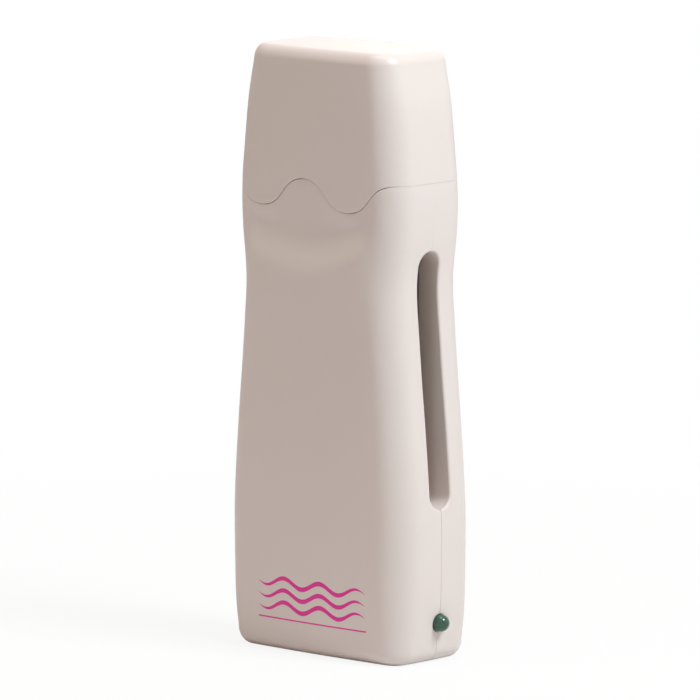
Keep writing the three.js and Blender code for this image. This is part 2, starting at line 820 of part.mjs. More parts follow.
// Wires run in the space below the bay, round the tab of the heat plate and up behind the plate.
function wires() {
  const [left, right] = [-pinPitch / 2, pinPitch / 2];
  const ahead = wireStart - wireBend;
  const farAhead = ahead - 2 * wireBend;
  const besideTab = tabHalf + 2 * wireRadius + fit;
  const behindPlate = plateRear + wireRadius + looseFit;
  const terminalX = terminalSpread / 2;
  const terminalEnd = elementBottom - terminalLength - fit;
  const rise = thermostatHeightZ - inletHeight;
  const live = [
    [left, wireStart, inletHeight],
    [left, ahead, inletHeight + wireRadius],
    [-tabHalf / 2, ahead - wireBend / 2, inletHeight + rise / 4],
    [-tabHalf, ahead + wireBend / 2, inletHeight + rise / 2],
    [thermostatEnd - wireBend, thermostatMiddle - 2 * wireBend, thermostatHeightZ - wireRadius],
    [thermostatEnd - wireBend / 2, thermostatMiddle - wireBend / 2, thermostatHeightZ],
    [thermostatEnd, thermostatMiddle, thermostatHeightZ],
  ];
  const upTo = (x) => [
    [Math.sign(x) * besideTab, behindPlate, linerBottom + wireRadius],
    [x + Math.sign(x) * wireBend, behindPlate, plateBottom],
    [x, behindPlate, terminalEnd - wireBend],
    [x, behindPlate, terminalEnd],
  ];
  const neutral = [
    [right, wireStart, inletHeight],
    [right, ahead, inletHeight],
    [0, farAhead, inletHeight + wireRadius],
    [-tabHalf / 2, farAhead, inletHeight + rise / 4],
    [-besideTab - wireBend, ahead, inletHeight + rise],
    [-besideTab - wireBend, linerRear - 2 * wireBend, thermostatHeightZ + wireBend],
    [-besideTab - wireBend / 2, linerRear, thermostatHeightZ + wireBend],
    ...upTo(-terminalX),
  ];
  const heater = [
    [fuseRight + fit, fuseY, thermostatHeightZ],
    [besideTab, fuseY, thermostatHeightZ + wireRadius],
    [besideTab + 2 * wireRadius, linerRear, thermostatHeightZ + wireBend],
    ...upTo(terminalX),
  ];
  const receptacleMiddle = noseFace + receptacleBack - receptacleLength / 2;
  const receptacleFoot = inletHeight - receptacleHeight / 2 - fit;
  const upToReceptacle = (x) => [
    [x, receptacleMiddle, receptacleFoot - 2 * lampWireRadius],
    [x, receptacleMiddle, receptacleFoot],
  ];
  const leadEnd = bulbInside - bulbLeadLength - fit;
  const lampLive = [
    [resistorStart - fit, -lampLeadY, lampHeight],
    [resistorStart - wireBend / 2, -lampLeadY, lampHeight - lampWireRadius],
    [0, receptacleMiddle - wireBend, lampHeight - wireRadius],
    ...upToReceptacle(left),
  ];
  const lampNeutral = [
    [leadEnd, lampLeadY, lampHeight],
    [leadEnd - wireBend / 2, lampLeadY, lampHeight],
    [right + wireBend, receptacleMiddle + lampLeadY, lampHeight - lampWireRadius],
    ...upToReceptacle(right),
  ];
  return [
    wire("live_wire", wireRadius, live, brownWire),
    wire("neutral_wire", wireRadius, neutral, blueWire),
    wire("heater_wire", wireRadius, heater, whiteWire),
    wire("lamp_live_wire", lampWireRadius, lampLive, brownWire),
    wire("lamp_neutral_wire", lampWireRadius, lampNeutral, blueWire),
  ];
}

const model = assembly(
  assembly(...shells(), ...screws(), neckCollar(), bayLiner()),
  assembly(heatPlate(), heatingElement(), insulatingSheet()),
  assembly(thermostat(), thermostatClip(), thermalFuse()),
  assembly(inletBody(), ...inletPins(), ...receptacles()),
  assembly(lampLens(), lampBulb(), lampHolder(), lampResistor()),
  assembly(...wires()),
  assembly(piece("cap", skin.intersect(abovePart(partingGap / 2)), ivoryPlastic)),
);

export default model;
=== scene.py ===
import math

import bmesh
import bpy
import numpy as np
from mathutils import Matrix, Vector


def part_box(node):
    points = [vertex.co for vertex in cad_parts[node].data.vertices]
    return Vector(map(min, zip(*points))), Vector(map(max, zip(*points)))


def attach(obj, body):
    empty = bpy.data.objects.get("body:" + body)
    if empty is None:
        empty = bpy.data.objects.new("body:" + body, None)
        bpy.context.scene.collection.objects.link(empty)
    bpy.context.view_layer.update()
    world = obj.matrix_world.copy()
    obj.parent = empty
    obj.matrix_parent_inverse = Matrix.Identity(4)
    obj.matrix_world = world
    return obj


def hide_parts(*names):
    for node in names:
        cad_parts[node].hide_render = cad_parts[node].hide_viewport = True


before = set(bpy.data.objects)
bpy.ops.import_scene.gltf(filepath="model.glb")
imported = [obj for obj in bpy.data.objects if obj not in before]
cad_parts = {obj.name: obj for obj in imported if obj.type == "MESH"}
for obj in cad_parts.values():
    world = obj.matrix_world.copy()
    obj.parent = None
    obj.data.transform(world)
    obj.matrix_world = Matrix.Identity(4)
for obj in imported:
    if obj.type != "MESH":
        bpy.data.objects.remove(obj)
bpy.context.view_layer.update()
scene = bpy.context.scene
scene.view_settings.view_transform = "Standard"

# Camera
# The heater was photographed from its front right and a little above, from far off with a long lens,
# so its upright edges stay parallel.
photo_azimuth = math.radians(42.3)
photo_elevation = math.radians(8.18)
camera_distance = 2.703
camera_middle = Vector((0, 0, 0.1075))
camera_aim = Vector((0, 0, 0.1065))


def towards(azimuth, elevation):
    """Direction at an angle round from the front to the right, and an angle up."""
    level = math.cos(elevation)
    return Vector((math.sin(azimuth) * level, -math.cos(azimuth) * level, math.sin(elevation)))


def added(name, data):
    """A new object in the scene."""
    made = bpy.data.objects.new(name, data)
    scene.collection.objects.link(made)
    return made


camera_data = bpy.data.cameras.new("camera")
camera_data.lens = 396
camera_data.clip_end = 20
camera_data.shift_x = 0.0007
camera = added("camera", camera_data)
scene.camera = camera
camera.location = camera_middle + camera_distance * towards(photo_azimuth, photo_elevation)
camera.rotation_euler = (camera_aim - camera.location).to_track_quat("-Z", "Y").to_euler()

# Front and rear shells
# Two mouldings in ivory ABS, screwed together from behind through posts beside the bay. They meet on a
# fine seam that runs through the window slots, and each has a finger scoop under the cap.
mm = 0.001


def corners(node):
    """Lowest and highest corners of a CAD node, in millimetres."""
    return [np.array(corner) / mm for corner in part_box(node)]


half_width = corners("front_shell")[1][0]
half_depth = -corners("front_shell")[0][1]
tall = corners("cap")[1][2]
wall = 2.0
fit = 0.3
corner_radius = 11.4
crown_sagitta = 1.5
side_sagitta = 1.0
base_fillet = 5.2
cap_height = 46.4
parting_height = tall - cap_height
wave_depth = 10.5
wave_centre = -3.2
lobe_spacing = 20.2
wave_square_share = 0.065
wave_foot = 150.0
rim_gap = 0.1
rim_step = 0.06
rim_lip = 0.33
rim_closed = 0.8
rim_closing_start = 31.0
rim_closing_reach = 7.0
slot_radius = 5.25
slot_low = 54.6 + slot_radius
slot_high = 144.5 - slot_radius
slot_middle = (slot_low + slot_high) / 2
slot_half = (slot_high - slot_low) / 2 + slot_radius
slot_lip = 0.9
tunnel_wall = 1.5
tunnel_end = 28.0
lens_height = 14.4
lens_hole = 3.2
lens_lip = 0.3
seam_offset = 0.2
fine_seam_offset = 0.02
seam_gap_share = 0.2
seam_gap = seam_offset * seam_gap_share
lip_turns = 5
scoop_depth = 1.35
scoop_ledge = 0.9
scoop_ledge_reach = 34.0
scoop_rest = 0.25
scoop_foot = 133.6
scoop_bow = 13.0
scoop_half_width = 34.0
scoop_side = 10.0
scoop_ramp = 15.5
scoop_crest = 151.0
thinnest_scoop_wall = 1.1
side_fullness = 0.85
full_height = 23.0
full_reach = 17.0

# Heights, half widths, half depths and corner radii of the body, as shares of its largest sizes
profile = np.array([
    [0, 0.933, 0.954, 0.754],
    [0.06, 0.96, 0.981, 0.83],
    [0.13, 0.981, 1, 0.936],
    [0.22, 1, 1, 1],
    [0.31, 0.981, 0.989, 0.978],
    [0.4, 0.942, 0.981, 0.93],
    [0.5, 0.895, 0.979, 0.91],
    [0.56, 0.87, 0.979, 0.9],
    [0.62, 0.855, 0.977, 0.895],
    [0.69, 0.898, 0.967, 0.908],
    [0.735, 0.915, 0.961, 0.916],
    [0.78, 0.912, 0.956, 0.921],
    [0.83, 0.89, 0.95, 0.92],
    [0.88, 0.864, 0.941, 0.893],
    [0.93, 0.825, 0.924, 0.821],
    [1, 0.765, 0.907, 0.737],
])


def smooth_curve(knots, values):
    """Cubic through the values, level at both ends, whose bend has no jumps."""
    step = np.diff(knots)
    rise = np.diff(values, axis=0) / step[:, None]
    system = np.diag(2 * (np.append(step, 0) + np.append(0, step)))
    system += np.diag(step, 1) + np.diag(step, -1)
    pull = 6 * np.vstack([rise[:1], np.diff(rise, axis=0), -rise[-1:]])
    curving = np.linalg.solve(system, pull)

    def at(place):
        place = np.clip(place, knots[0], knots[-1])
        left = np.clip(np.searchsorted(knots, place) - 1, 0, len(step) - 1)
        far = ((place - knots[left]) / step[left])[..., None]
        near = 1 - far
        sag = (near**3 - near) * curving[left] + (far**3 - far) * curving[left + 1]
        return near * values[left] + far * values[left + 1] + sag * step[left][..., None] ** 2 / 6

    return at


form = smooth_curve(profile[:, 0], profile[:, 1:])


def parting(x):
    """Height of the line where cap and body part: it dips in two lobes."""
    span = np.minimum(np.abs(x - wave_centre) / lobe_spacing, 2)
    dip = (1 - np.cos(np.pi * span)) / 2
    return parting_height - wave_depth * (dip - wave_square_share * np.sin(2 * np.pi * dip))


def ease(share):
    """Runs smoothly from 0 to 1 with the share."""
    share = np.clip(share, 0, 1)
    return share * share * (3 - 2 * share)


def openness(x):
    """How open the parting line is: it nearly closes at the sides."""
    return 1 - rim_closed * ease((np.abs(x) - rim_closing_start) / rim_closing_reach)


def scoop(x, z):
    """Depth of the finger scoop under the lobes. It climbs out over a low ledge on a bowed lower edge, and
    fades towards the parting line and its sides."""
    off = x - wave_centre
    foot = scoop_foot + scoop_bow * (off / scoop_half_width) ** 2
    climb = ease((z - foot) / scoop_ramp)
    fade = 1 - (1 - scoop_rest) * ease((z - scoop_crest) / (parting(x) - scoop_crest))
    ledge = scoop_ledge * ease((z - foot) / scoop_ledge_reach + 1)
    depth = (scoop_depth + scoop_ledge) * climb - ledge
    return depth * fade * ease((scoop_half_width - np.abs(off)) / scoop_side)


def columns(left, right):
    """Places round the front half of a rounded rectangle, from the left side to the right, as straight
    runs x and y from -1 to 1 and the direction of the corner radius. Each side leaves out a first share."""
    side, corner, face = 7, 14, 52

    def run(*parts):
        return np.stack(np.broadcast_arrays(*parts, left + 0 * right)[:4], -1)

    fall = np.arange(side) / side
    turn = np.arange(corner) / corner * math.pi / 2
    across = 2 * np.arange(face) / face - 1
    rise = np.arange(side + 1) / side
    return np.concatenate([
        run(-1, -(left + (1 - left) * fall), -1, 0),
        run(-1, -1, -np.cos(turn), -np.sin(turn)),
        run(across, -1, 0, -1),
        run(1, -1, np.sin(turn), -np.cos(turn)),
        run(1, -(1 - (1 - right) * rise), 1, 0),
    ], 1)


def all_round(places):
    """The front places and their mirror images behind, as one closed round."""
    return np.concatenate([places, places[:, -2:0:-1] * (1, -1, 1, -1)], 1)


def listed(height, inset=0, scale=1, rise=0, left=0, right=0):
    """Rows of the body's skin, from single values and lists of them."""
    return np.column_stack(np.broadcast_arrays(height, inset, scale, rise, left, right))


def body_points(rows, drop=0, whole=False, scooped=False):
    """Points of the body's skin, row by row. A row is its height, inset, scale towards the middle, share of
    the way to the parting line, and how far its left and right ends stay off the seam. A place along x and
    a height near the parting line follow from each other, so they are found in a few turns."""
    height, inset, scale, rise, left, right = (rows[:, at : at + 1] for at in range(6))
    level = height
    for _ in range(4):
        shares = form(level / tall)
        wide, deep, radius = np.moveaxis(shares * (half_width, half_depth, corner_radius), -1, 0)
        radius = radius - inset
        straight = deep - inset - radius
        crown = (1 - crown_sagitta / deep) * straight
        if level is height:
            places = columns(left / crown, right / crown)
            run_x, run_y, turn_x, turn_y = np.moveaxis(all_round(places) if whole else places, -1, 0)
        x = run_x * (wide - inset - radius) + radius * turn_x
        y = run_y * straight + radius * turn_y
        full = side_fullness * np.exp(-(((level - full_height) / full_reach) ** 2))
        flat_x = x * (1 + (full - (full + side_sagitta) * (y / deep) ** 2) / wide)
        flat_y = y * (1 - crown_sagitta / deep * (x / wide) ** 2)
        level = height + rise * (parting(flat_x) - drop * openness(flat_x) - height)
    if scooped:
        flat_y = flat_y + scoop(flat_x, level) * (turn_y < 0)
    seam = np.minimum(left, right)
    return np.stack([flat_x * scale, (flat_y + seam) * scale - seam, level + 0 * x], -1)


def facing(points, closed=False):
    """Outward directions of a grid of points whose rows rise and whose columns run anticlockwise."""
    wide = np.concatenate([points, points[:, :1]], 1) if closed else points
    face = np.cross(wide[1:, 1:] - wide[:-1, :-1], wide[1:, :-1] - wide[:-1, 1:])
    total = np.zeros_like(wide)
    for low in (slice(None, -1), slice(1, None)):
        for near in (slice(None, -1), slice(1, None)):
            total[low, near] += face
    if closed:
        total[:, 0] += total[:, -1]
        total = total[:, :-1]
    return total / np.linalg.norm(total, axis=-1, keepdims=True)


usual_crease = 35


def smoothed(mesh, crease=usual_crease):
    """The mesh, smooth up to the crease angle."""
    mesh.shade_smooth()
    mesh.set_sharp_from_angle(angle=math.radians(crease))
    return mesh


def finished(name, work, crease=usual_crease):
    """A new smooth object from a worked mesh, which is used up."""
    mesh = bpy.data.meshes.new(name)
    work.to_mesh(mesh)
    work.free()
    return added(name, smoothed(mesh, crease))


class Skin:
    """Grids of points in millimetres, joined into one closed mesh."""

    def __init__(self):
        self.points, self.faces, self.count = [], [], 0

    def add(self, points):
        """Adds a grid of points and gives their numbers."""
        index = np.arange(self.count, self.count + points[..., 0].size).reshape(points.shape[:-1])
        self.points.append(points.reshape(-1, 3))
        self.count += index.size
        return index

    def join(self, index, closed=False, inwards=False):
        """Faces between neighbours in a grid of numbers, whose columns may run right round."""
        if closed:
            index = np.concatenate([index, index[:, :1]], 1)
        quads = np.stack([index[:-1, :-1], index[:-1, 1:], index[1:, 1:], index[1:, :-1]], -1)
        quads = quads.reshape(-1, 4)
        self.faces.append(quads[:, ::-1] if inwards else quads)
        return index

    def piece(self, name, crease=usual_crease):
        """The joined grids as an object, with points that lie together made one."""
        together = 2e-6
        mesh = bpy.data.meshes.new(name)
        points = np.concatenate(self.points) * mm
        faces = (list(dict.fromkeys(face)) for face in np.concatenate(self.faces).tolist())
        mesh.from_pydata(points.tolist(), [], [face for face in faces if len(face) > 2])
        work = bmesh.new()
        work.from_mesh(mesh)
        bpy.data.meshes.remove(mesh)
        bmesh.ops.remove_doubles(work, verts=work.verts, dist=together)
        return finished(name, work, crease)


def wrapped(name, grid, crease=usual_crease):
    """A closed piece from one grid whose rows run right round it."""
    skin = Skin()
    skin.join(skin.add(grid), closed=True)
    return skin.piece(name, crease)


def shell_rows(slot_reach, lens_reach, share):
    """Rows of the front shell from the middle of its base to its rim, off the seam by a share of its offset,
    and the rows of each opening."""
    made, spans = [], {}
    seam, fine_seam = share * seam_offset, share * fine_seam_offset

    def span(name, height, *form_values, left=seam, right=seam):
        start = sum(map(len, made))
        made.append(listed(height, *form_values, left=left, right=right))
        spans[name] = (start, start + len(made[-1]))

    def steps(count):
        return np.arange(count) / count

    def climb(name, count, low, high, off=seam):
        span(name, low + (high - low) * steps(count), left=off, right=off)

    span("base", 0, base_fillet, steps(8))
    turn = steps(10) * math.pi / 2
    span("fillet", base_fillet * (1 - np.cos(turn)), base_fillet * (1 - np.sin(turn)))
    climb("below lens", 4, base_fillet, lens_height - lens_reach)
    turn = steps(24) * math.pi
    lens_side = np.maximum(seam, lens_reach * np.sin(turn))
    span("lens", lens_height - lens_reach * np.cos(turn), right=lens_side)
    climb("above lens", 16, lens_height + lens_reach, slot_low - slot_reach)
    turn = steps(16) * math.pi / 2
    side = np.maximum(seam, slot_reach * np.sin(turn))
    span("slot", slot_low - slot_reach * np.cos(turn), left=side, right=side)
    climb("slot side", 36, slot_low, slot_high, slot_reach)
    side = np.maximum(fine_seam, slot_reach * np.cos(turn))
    span("slot top", slot_high + slot_reach * np.sin(turn), left=side, right=side)
    climb("above slot", 3, slot_high + slot_reach, wave_foot, fine_seam)
    rise = np.linspace(0, 1, 15)
    span("rim", wave_foot, rim_step * rise, 1, rise, left=fine_seam, right=fine_seam)
    slot_span = (spans["slot"][0], spans["slot top"][1])
    return np.concatenate(made), {"lens": spans["lens"], "slot": slot_span}


def front_half():
    """The front shell with its wall, its lips and its rim, as one closed skin."""
    outer_rows, openings = shell_rows(slot_radius + slot_lip, lens_hole + lens_lip, 1)
    inner_rows, _ = shell_rows(slot_radius + tunnel_wall, lens_hole, seam_gap_share)
    outer = body_points(outer_rows, rim_gap + rim_lip)
    inner = body_points(inner_rows, rim_gap)
    inner = inner - wall * facing(outer)
    inner[..., 1] += np.maximum(scoop(inner[..., 0], inner[..., 2]) - wall + thinnest_scoop_wall, 0)
    outer = body_points(outer_rows, rim_gap + rim_lip, scooped=True)
    outward = facing(outer)
    last_row, last_column = len(outer) - 1, outer.shape[1] - 1

    def side_edge(column, found):
        """The edge up one side: each place, where and how far its lip turns, and how deep its tunnel is."""
        entries = []
        for row in range(last_row + 1):
            offset = min(-outer[row, column, 1], seam_offset)
            seam = (row, column, (0, 1, 0), offset * (1 - seam_gap_share), 0)
            here = [seam]
            for (low, high), centres, lip, tunnel in found:
                if low <= row <= high:
                    _, y, z = outer[row, column]
                    toward = (0, -y, np.clip(z, *centres) - z)
                    lipped = (row, column, toward, lip, tunnel)
                    here = [lipped]
                    if row in (low, high):
                        here = [seam, lipped] if row == low else [lipped, seam]
            entries += here
        return entries

    slot = (openings["slot"], (slot_low, slot_high), slot_lip, tunnel_end)
    lens = (openings["lens"], (lens_height, lens_height), lens_lip, 0)
    rim_lips = rim_lip * openness(outer[-1, :, 0])
    rim = [(last_row, column, (0, 0, 1), rim_lips[column], 0) for column in range(last_column, -1, -1)]
    edge = side_edge(last_column, [lens, slot]) + rim + side_edge(0, [slot])[::-1]
    angles = np.arange(1, lip_turns + 1) / lip_turns * math.pi / 2
    lips = []
    for row, column, toward, lip, tunnel in edge:
        normal = outward[row, column]
        toward = toward - np.dot(toward, normal) * normal
        toward = toward / np.linalg.norm(toward)
        arc = np.outer(np.sin(angles), toward) - np.outer(1 - np.cos(angles), normal)
        arc = outer[row, column] + lip * arc
        back = inner[row, column]
        ends = np.array([arc[-1], back]) if tunnel else np.array([back, back])
        if tunnel:
            ends[:, 0] = math.copysign(tunnel, back[0])
        lips.append(np.concatenate([arc, ends]))
    skin = Skin()
    outside = skin.join(skin.add(outer))
    inside = skin.join(skin.add(inner), inwards=True)
    rolled = skin.add(np.array(lips))
    row, column = np.array([entry[:2] for entry in edge]).T
    skin.join(np.column_stack([outside[row, column], rolled, inside[row, column]]))
    return skin


front_shell = front_half().piece("front_shell_moulding")
rear_skin = front_half()
rear_skin.points = [points * (1, -1, 1) for points in rear_skin.points]
rear_skin.faces = [faces[:, ::-1] for faces in rear_skin.faces]
rear_shell = rear_skin.piece("rear_shell_moulding")


def mixed(operation, piece, *tools):
    """The piece after a UNION, DIFFERENCE or INTERSECT with closed forms, which are used up."""
    for tool in tools:
        change = piece.modifiers.new(operation, "BOOLEAN")
        change.operation, change.solver, change.object = operation, "MANIFOLD", tool
    depsgraph = bpy.context.evaluated_depsgraph_get()
    mesh = bpy.data.meshes.new_from_object(piece.evaluated_get(depsgraph))
    piece.modifiers.clear()
    spent = piece.data
    piece.data = smoothed(mesh)
    bpy.data.meshes.remove(spent)
    for tool in tools:
        bpy.data.meshes.remove(tool.data)
    return piece


def block(name, low, high, bevel=0.0, steps=2):
    """A box between two corners, with rounded edges where it has a bevel."""
    low, high = np.array(low, float) * mm, np.array(high, float) * mm
    work = bmesh.new()
    bmesh.ops.create_cube(work, size=1)
    for vertex in work.verts:
        vertex.co = Vector(low + (np.array(vertex.co) + 0.5) * (high - low))
    if bevel:
        bmesh.ops.bevel(
            work, geom=work.edges[:], offset=bevel * mm, segments=steps, profile=0.5, affect="EDGES"
        )
    return finished(name, work)


def turned(name, outline, place=(0, 0, 0), axis=0, sides=32, crease=usual_crease):
    """A closed form from an outline of distance along and radius, turned round an axis."""
    along, radius = np.array(outline, float).T[..., None]
    angle = np.arange(sides) / sides * 2 * math.pi
    grid = np.stack([along + 0 * angle, radius * np.cos(angle), radius * np.sin(angle)], -1)
    return wrapped(name, np.roll(grid, axis, -1) + place, crease)


def rod(name, low, high, radius, place=(0, 0, 0), axis=0, sides=32, edge=0.0):
    """A round bar between two distances along an axis, with edges broken by a chamfer."""
    outline = [(low, 0), (low, radius - edge), (low + edge, radius), (high - edge, radius)]
    return turned(name, outline + [(high, radius - edge), (high, 0)], place, axis, sides)


def bar(name, rows, place, axis, steps=6):
    """A closed bar along an axis through rounded rectangles, each given as its half sizes along the next
    two axes, its corner radius and its distance along the axis."""
    rows = np.array(rows, float)
    quadrant = np.repeat(np.arange(4), steps + 1)
    angle = (quadrant + np.tile(np.arange(steps + 1), 4) / steps) * math.pi / 2
    middle = (quadrant + 0.5) * math.pi / 2
    half_a, half_b, radius, along = (rows[:, at : at + 1] for at in range(4))
    grid = np.stack([
        np.sign(np.cos(middle)) * (half_a - radius) + radius * np.cos(angle),
        np.sign(np.sin(middle)) * (half_b - radius) + radius * np.sin(angle),
        along + 0 * angle,
    ], -1)
    grid = np.roll(grid, axis + 1, -1)
    first, last = (grid[at].mean(0) + 0 * grid[at] for at in (0, -1))
    return wrapped(name, np.concatenate([[first], grid, [last]]) + place)


bay_low, bay_high = corners("bay_liner")
bay_middle = (bay_low[1] + bay_high[1]) / 2
bay_wall = 1.2
bay_half = np.array([bay_high[0], (bay_high[1] - bay_low[1]) / 2]) - bay_wall
bay_corner = 6.5
shelf_lap = 2.5
shelf_thickness = 2.0
shelf_inset = 1.7
bay_places = all_round(columns(np.zeros((1, 1)), np.zeros((1, 1))))[0]


def bay_points(rows):
    """Closed rounds about the middle of the bay, each given as a distance from its wall and a height."""
    run_x, run_y, turn_x, turn_y = bay_places.T
    out, height = np.array(rows, float).T[..., None]
    x = run_x * (bay_half[0] - bay_corner) + (bay_corner + out) * turn_x
    y = run_y * (bay_half[1] - bay_corner) + (bay_corner + out) * turn_y + bay_middle
    return np.stack([x, y, height + 0 * x], -1)


def hollow(name, rounds):
    """A closed ring whose section runs through the rounds, outside from the foot up first."""
    return wrapped(name, np.concatenate([*rounds, rounds[0][:1]]))


def shelf(name, top, lap):
    """A shelf right across the body with an opening for the bay."""
    levels = np.array([top - shelf_thickness, top])
    outside = body_points(listed(levels, shelf_inset), whole=True)
    return hollow(name, [outside, bay_points([(lap, top), (lap, levels[0])])])


overrun = 4.0
wire_room = 25.1
passage_drop = 6.0
passage = block(
    "wire_passage",
    (-wire_room, bay_high[1] - fit, bay_low[2] - passage_drop),
    (wire_room, half_depth - wall - fit, bay_low[2] + overrun),
)
lower_shelf = mixed("DIFFERENCE", shelf("lower_shelf", bay_low[2], bay_wall - shelf_lap), passage)
upper_shelf = shelf("upper_shelf", bay_high[2], bay_wall + fit)

screw_seat = 3.0
screw_depth = 9.0
screw_radius = 1.45
screw_head = 2.3
pilot_gap = 0.15
post_radius = 3.0
post_low, post_high, post_step = 20, 160, 7
screw_nodes = [f"shell_screw_{number}" for number in (1, 2, 3, 4)]
screw_places = [(sum(corners(node)) / 2)[[0, 2]] for node in screw_nodes]


def along_screws(name, low, high, radius):
    """Round bars at the four screws, between two distances from the seam."""
    return [rod(name, low, high, radius, (x, 0, z), axis=1) for x, z in screw_places]


core_levels = [post_low, *np.arange(post_low, post_high + 1, post_step), post_high]
core_scales = [0, *[1] * (len(core_levels) - 2), 0]
core = wrapped("post_reach", body_points(listed(core_levels, wall / 2, core_scales), whole=True))
posts = mixed("UNION", *along_screws("post", -half_depth, half_depth, post_radius))
frames = mixed("UNION", mixed("INTERSECT", posts, core), lower_shelf, upper_shelf)
beyond = (60, 30, 200)
for shell, near, far in ((front_shell, -beyond[1], -seam_gap), (rear_shell, seam_gap, beyond[1])):
    half = block("half", (-beyond[0], near, 0), (beyond[0], far, beyond[2]))
    mixed("UNION", shell, mixed("INTERSECT", added("frames_half", frames.data.copy()), half))
bpy.data.meshes.remove(frames.data)

inlet_low, inlet_high = corners("inlet_body")
nose_face = inlet_high[1]
inlet_height = (inlet_low[2] + inlet_high[2]) / 2
inlet_place = (0, 0, inlet_height)
nose_half = (6.2, 10.2)
nose_corner = 6.2
nose_hole_span = (-7, 3)
nose_hole_sizes = [size + fit for size in (*nose_half, nose_corner)]
nose_hole_rows = [(*nose_hole_sizes, half_depth + y) for y in nose_hole_span]
hole_lap = 1.0
pilots = along_screws("pilot", -screw_depth - fit, overrun, screw_radius + pilot_gap)
mixed("DIFFERENCE", front_shell, *pilots)
mixed(
    "DIFFERENCE",
    rear_shell,
    *along_screws("screw_hole", -overrun, screw_seat + hole_lap, screw_radius + fit),
    *along_screws("screw_well", screw_seat, half_depth + overrun, screw_head + fit),
    bar("nose_hole", nose_hole_rows, inlet_place, axis=1),
)


def maths(operation, swapped=False, clamp=False):
    """A method that passes a value, and one more where it takes one, through a Math node."""
    def method(value, *other):
        terms = (*other, value) if swapped else (value, *other)
        settings = {"operation": operation, "use_clamp": clamp}
        return value.owner.node("ShaderNodeMath", settings, dict(enumerate(terms)))

    return method


class Value:
    """An output of a node. Arithmetic on it adds Math nodes to the tree of its owner."""

    def __init__(self, owner, socket):
        self.owner, self.socket = owner, socket

    __add__ = __radd__ = maths("ADD")
    __sub__, __rsub__ = maths("SUBTRACT"), maths("SUBTRACT", swapped=True)
    __mul__ = __rmul__ = maths("MULTIPLY")
    __truediv__, __rtruediv__ = maths("DIVIDE"), maths("DIVIDE", swapped=True)
    __pow__, __rpow__ = maths("POWER"), maths("POWER", swapped=True)
    __lt__, __gt__ = maths("LESS_THAN"), maths("GREATER_THAN")
    __abs__, sine = maths("ABSOLUTE"), maths("SINE")
    clamped_sum = maths("ADD", clamp=True)

    def clamped(self):
        return self.clamped_sum(0)


def shade(text):
    """Linear colour of an sRGB hex code."""
    parts = [int(text[at : at + 2], 16) / 255 for at in (1, 3, 5)]
    return (*(p / 12.92 if p <= 0.04045 else ((p + 0.055) / 1.055) ** 2.4 for p in parts), 1)


class Nodes:
    """A tree of nodes, with a method that adds any node."""

    def __init__(self, tree):
        self.tree = tree

    def connect(self, socket, value):
        if isinstance(value, Value):
            self.tree.links.new(value.socket, socket)
        else:
            socket.default_value = value

    def node(self, kind, settings, values, output=0):
        made = self.tree.nodes.new(kind)
        for name, setting in settings.items():
            setattr(made, name, setting)
        for name, value in values.items():
            self.connect(made.inputs[name], value)
        return Value(self, made.outputs[output])


class Finish(Nodes):
    """A material with one Principled shader, on Object coordinates."""

    def __init__(self, name, **constants):
        self.material = bpy.data.materials.new(name)
        self.material.use_nodes = True
        super().__init__(self.material.node_tree)
        self.shader = self.tree.nodes["Principled BSDF"]
        self.place = self.node("ShaderNodeTexCoord", {}, {}, "Object")
        self.set(**constants)

    def set(self, **values):
        for name, value in values.items():
            self.connect(self.shader.inputs[name.replace("_", " ")], value)

    def noise(self, scale, detail=2.0, roughness=0.5, place=None):
        values = {"Vector": place or self.place, "Scale": scale, "Detail": detail, "Roughness": roughness}
        return self.node("ShaderNodeTexNoise", {}, values, "Fac")

    def stretched(self, *scale):
        """Object coordinates, scaled along each axis."""
        return self.node("ShaderNodeMapping", {}, {"Vector": self.place, "Scale": scale})

    def axes(self):
        """Distances along x, y and z in millimetres."""
        split = self.node("ShaderNodeSeparateXYZ", {}, {0: self.place}).socket.node
        return [Value(self, output) / mm for output in split.outputs]

    def between(self, low, high, share):
        """A number or colour that runs from low to high with the share. Its sockets go by number, because
        the node has more than one of a name."""
        colours = any(isinstance(end, tuple) or getattr(end, "colour", False) for end in (low, high))
        kind, slots = ("RGBA", (6, 7, 2)) if colours else ("FLOAT", (2, 3, 0))
        values = {0: share, slots[0]: low, slots[1]: high}
        mix = self.node("ShaderNodeMix", {"data_type": kind}, values, slots[2])
        mix.colour = colours
        return mix

    def bump(self, height, strength, distance):
        values = {"Strength": strength, "Distance": distance, "Height": height}
        self.set(Normal=self.node("ShaderNodeBump", {}, values))

    def paint(self, piece):
        piece.data.materials.clear()
        piece.data.materials.append(self.material)


def drifting(name, dark, light, drift, rough, wear, **constants):
    """A finish whose colour drifts between two codes, and whose roughness runs between two values, each over
    a noise of its own scale and detail."""
    finish = Finish(name, **constants)
    finish.tone = finish.between(shade(dark), shade(light), finish.noise(*drift))
    finish.set(Base_Color=finish.tone, Roughness=finish.between(*rough, finish.noise(*wear)))
    return finish


def ivory_finish(name):
    """Satin ivory plastic: a slow drift of tone, a fine moulded grain and faint handling marks."""
    finish = drifting(name, "#e2d5d0", "#e6dad6", (14, 3), (0.3, 0.42), (220, 4, 0.6), IOR=1.5)
    finish.bump(finish.noise(5200, 2, 0.6), 0.12, 0.00006)
    return finish


# Bounds of the painted shade inside the tunnels of the slots.
tunnel_mouth = 36.5
tunnel_fade = 3.5
tunnel_margin = 1.0


def painted_tunnel_shade(finish):
    """Painted shade: the colour darkens to brown-grey inside the slot tunnels, where shade falls."""
    x, y, z = finish.axes()
    inside = ((tunnel_mouth - abs(x)) / tunnel_fade).clamped() * (abs(y) < slot_radius + tunnel_wall)
    inside = inside * (abs(z - slot_middle) < slot_half + tunnel_margin)
    return finish.between(finish.tone, shade("#d6c8bf"), inside)


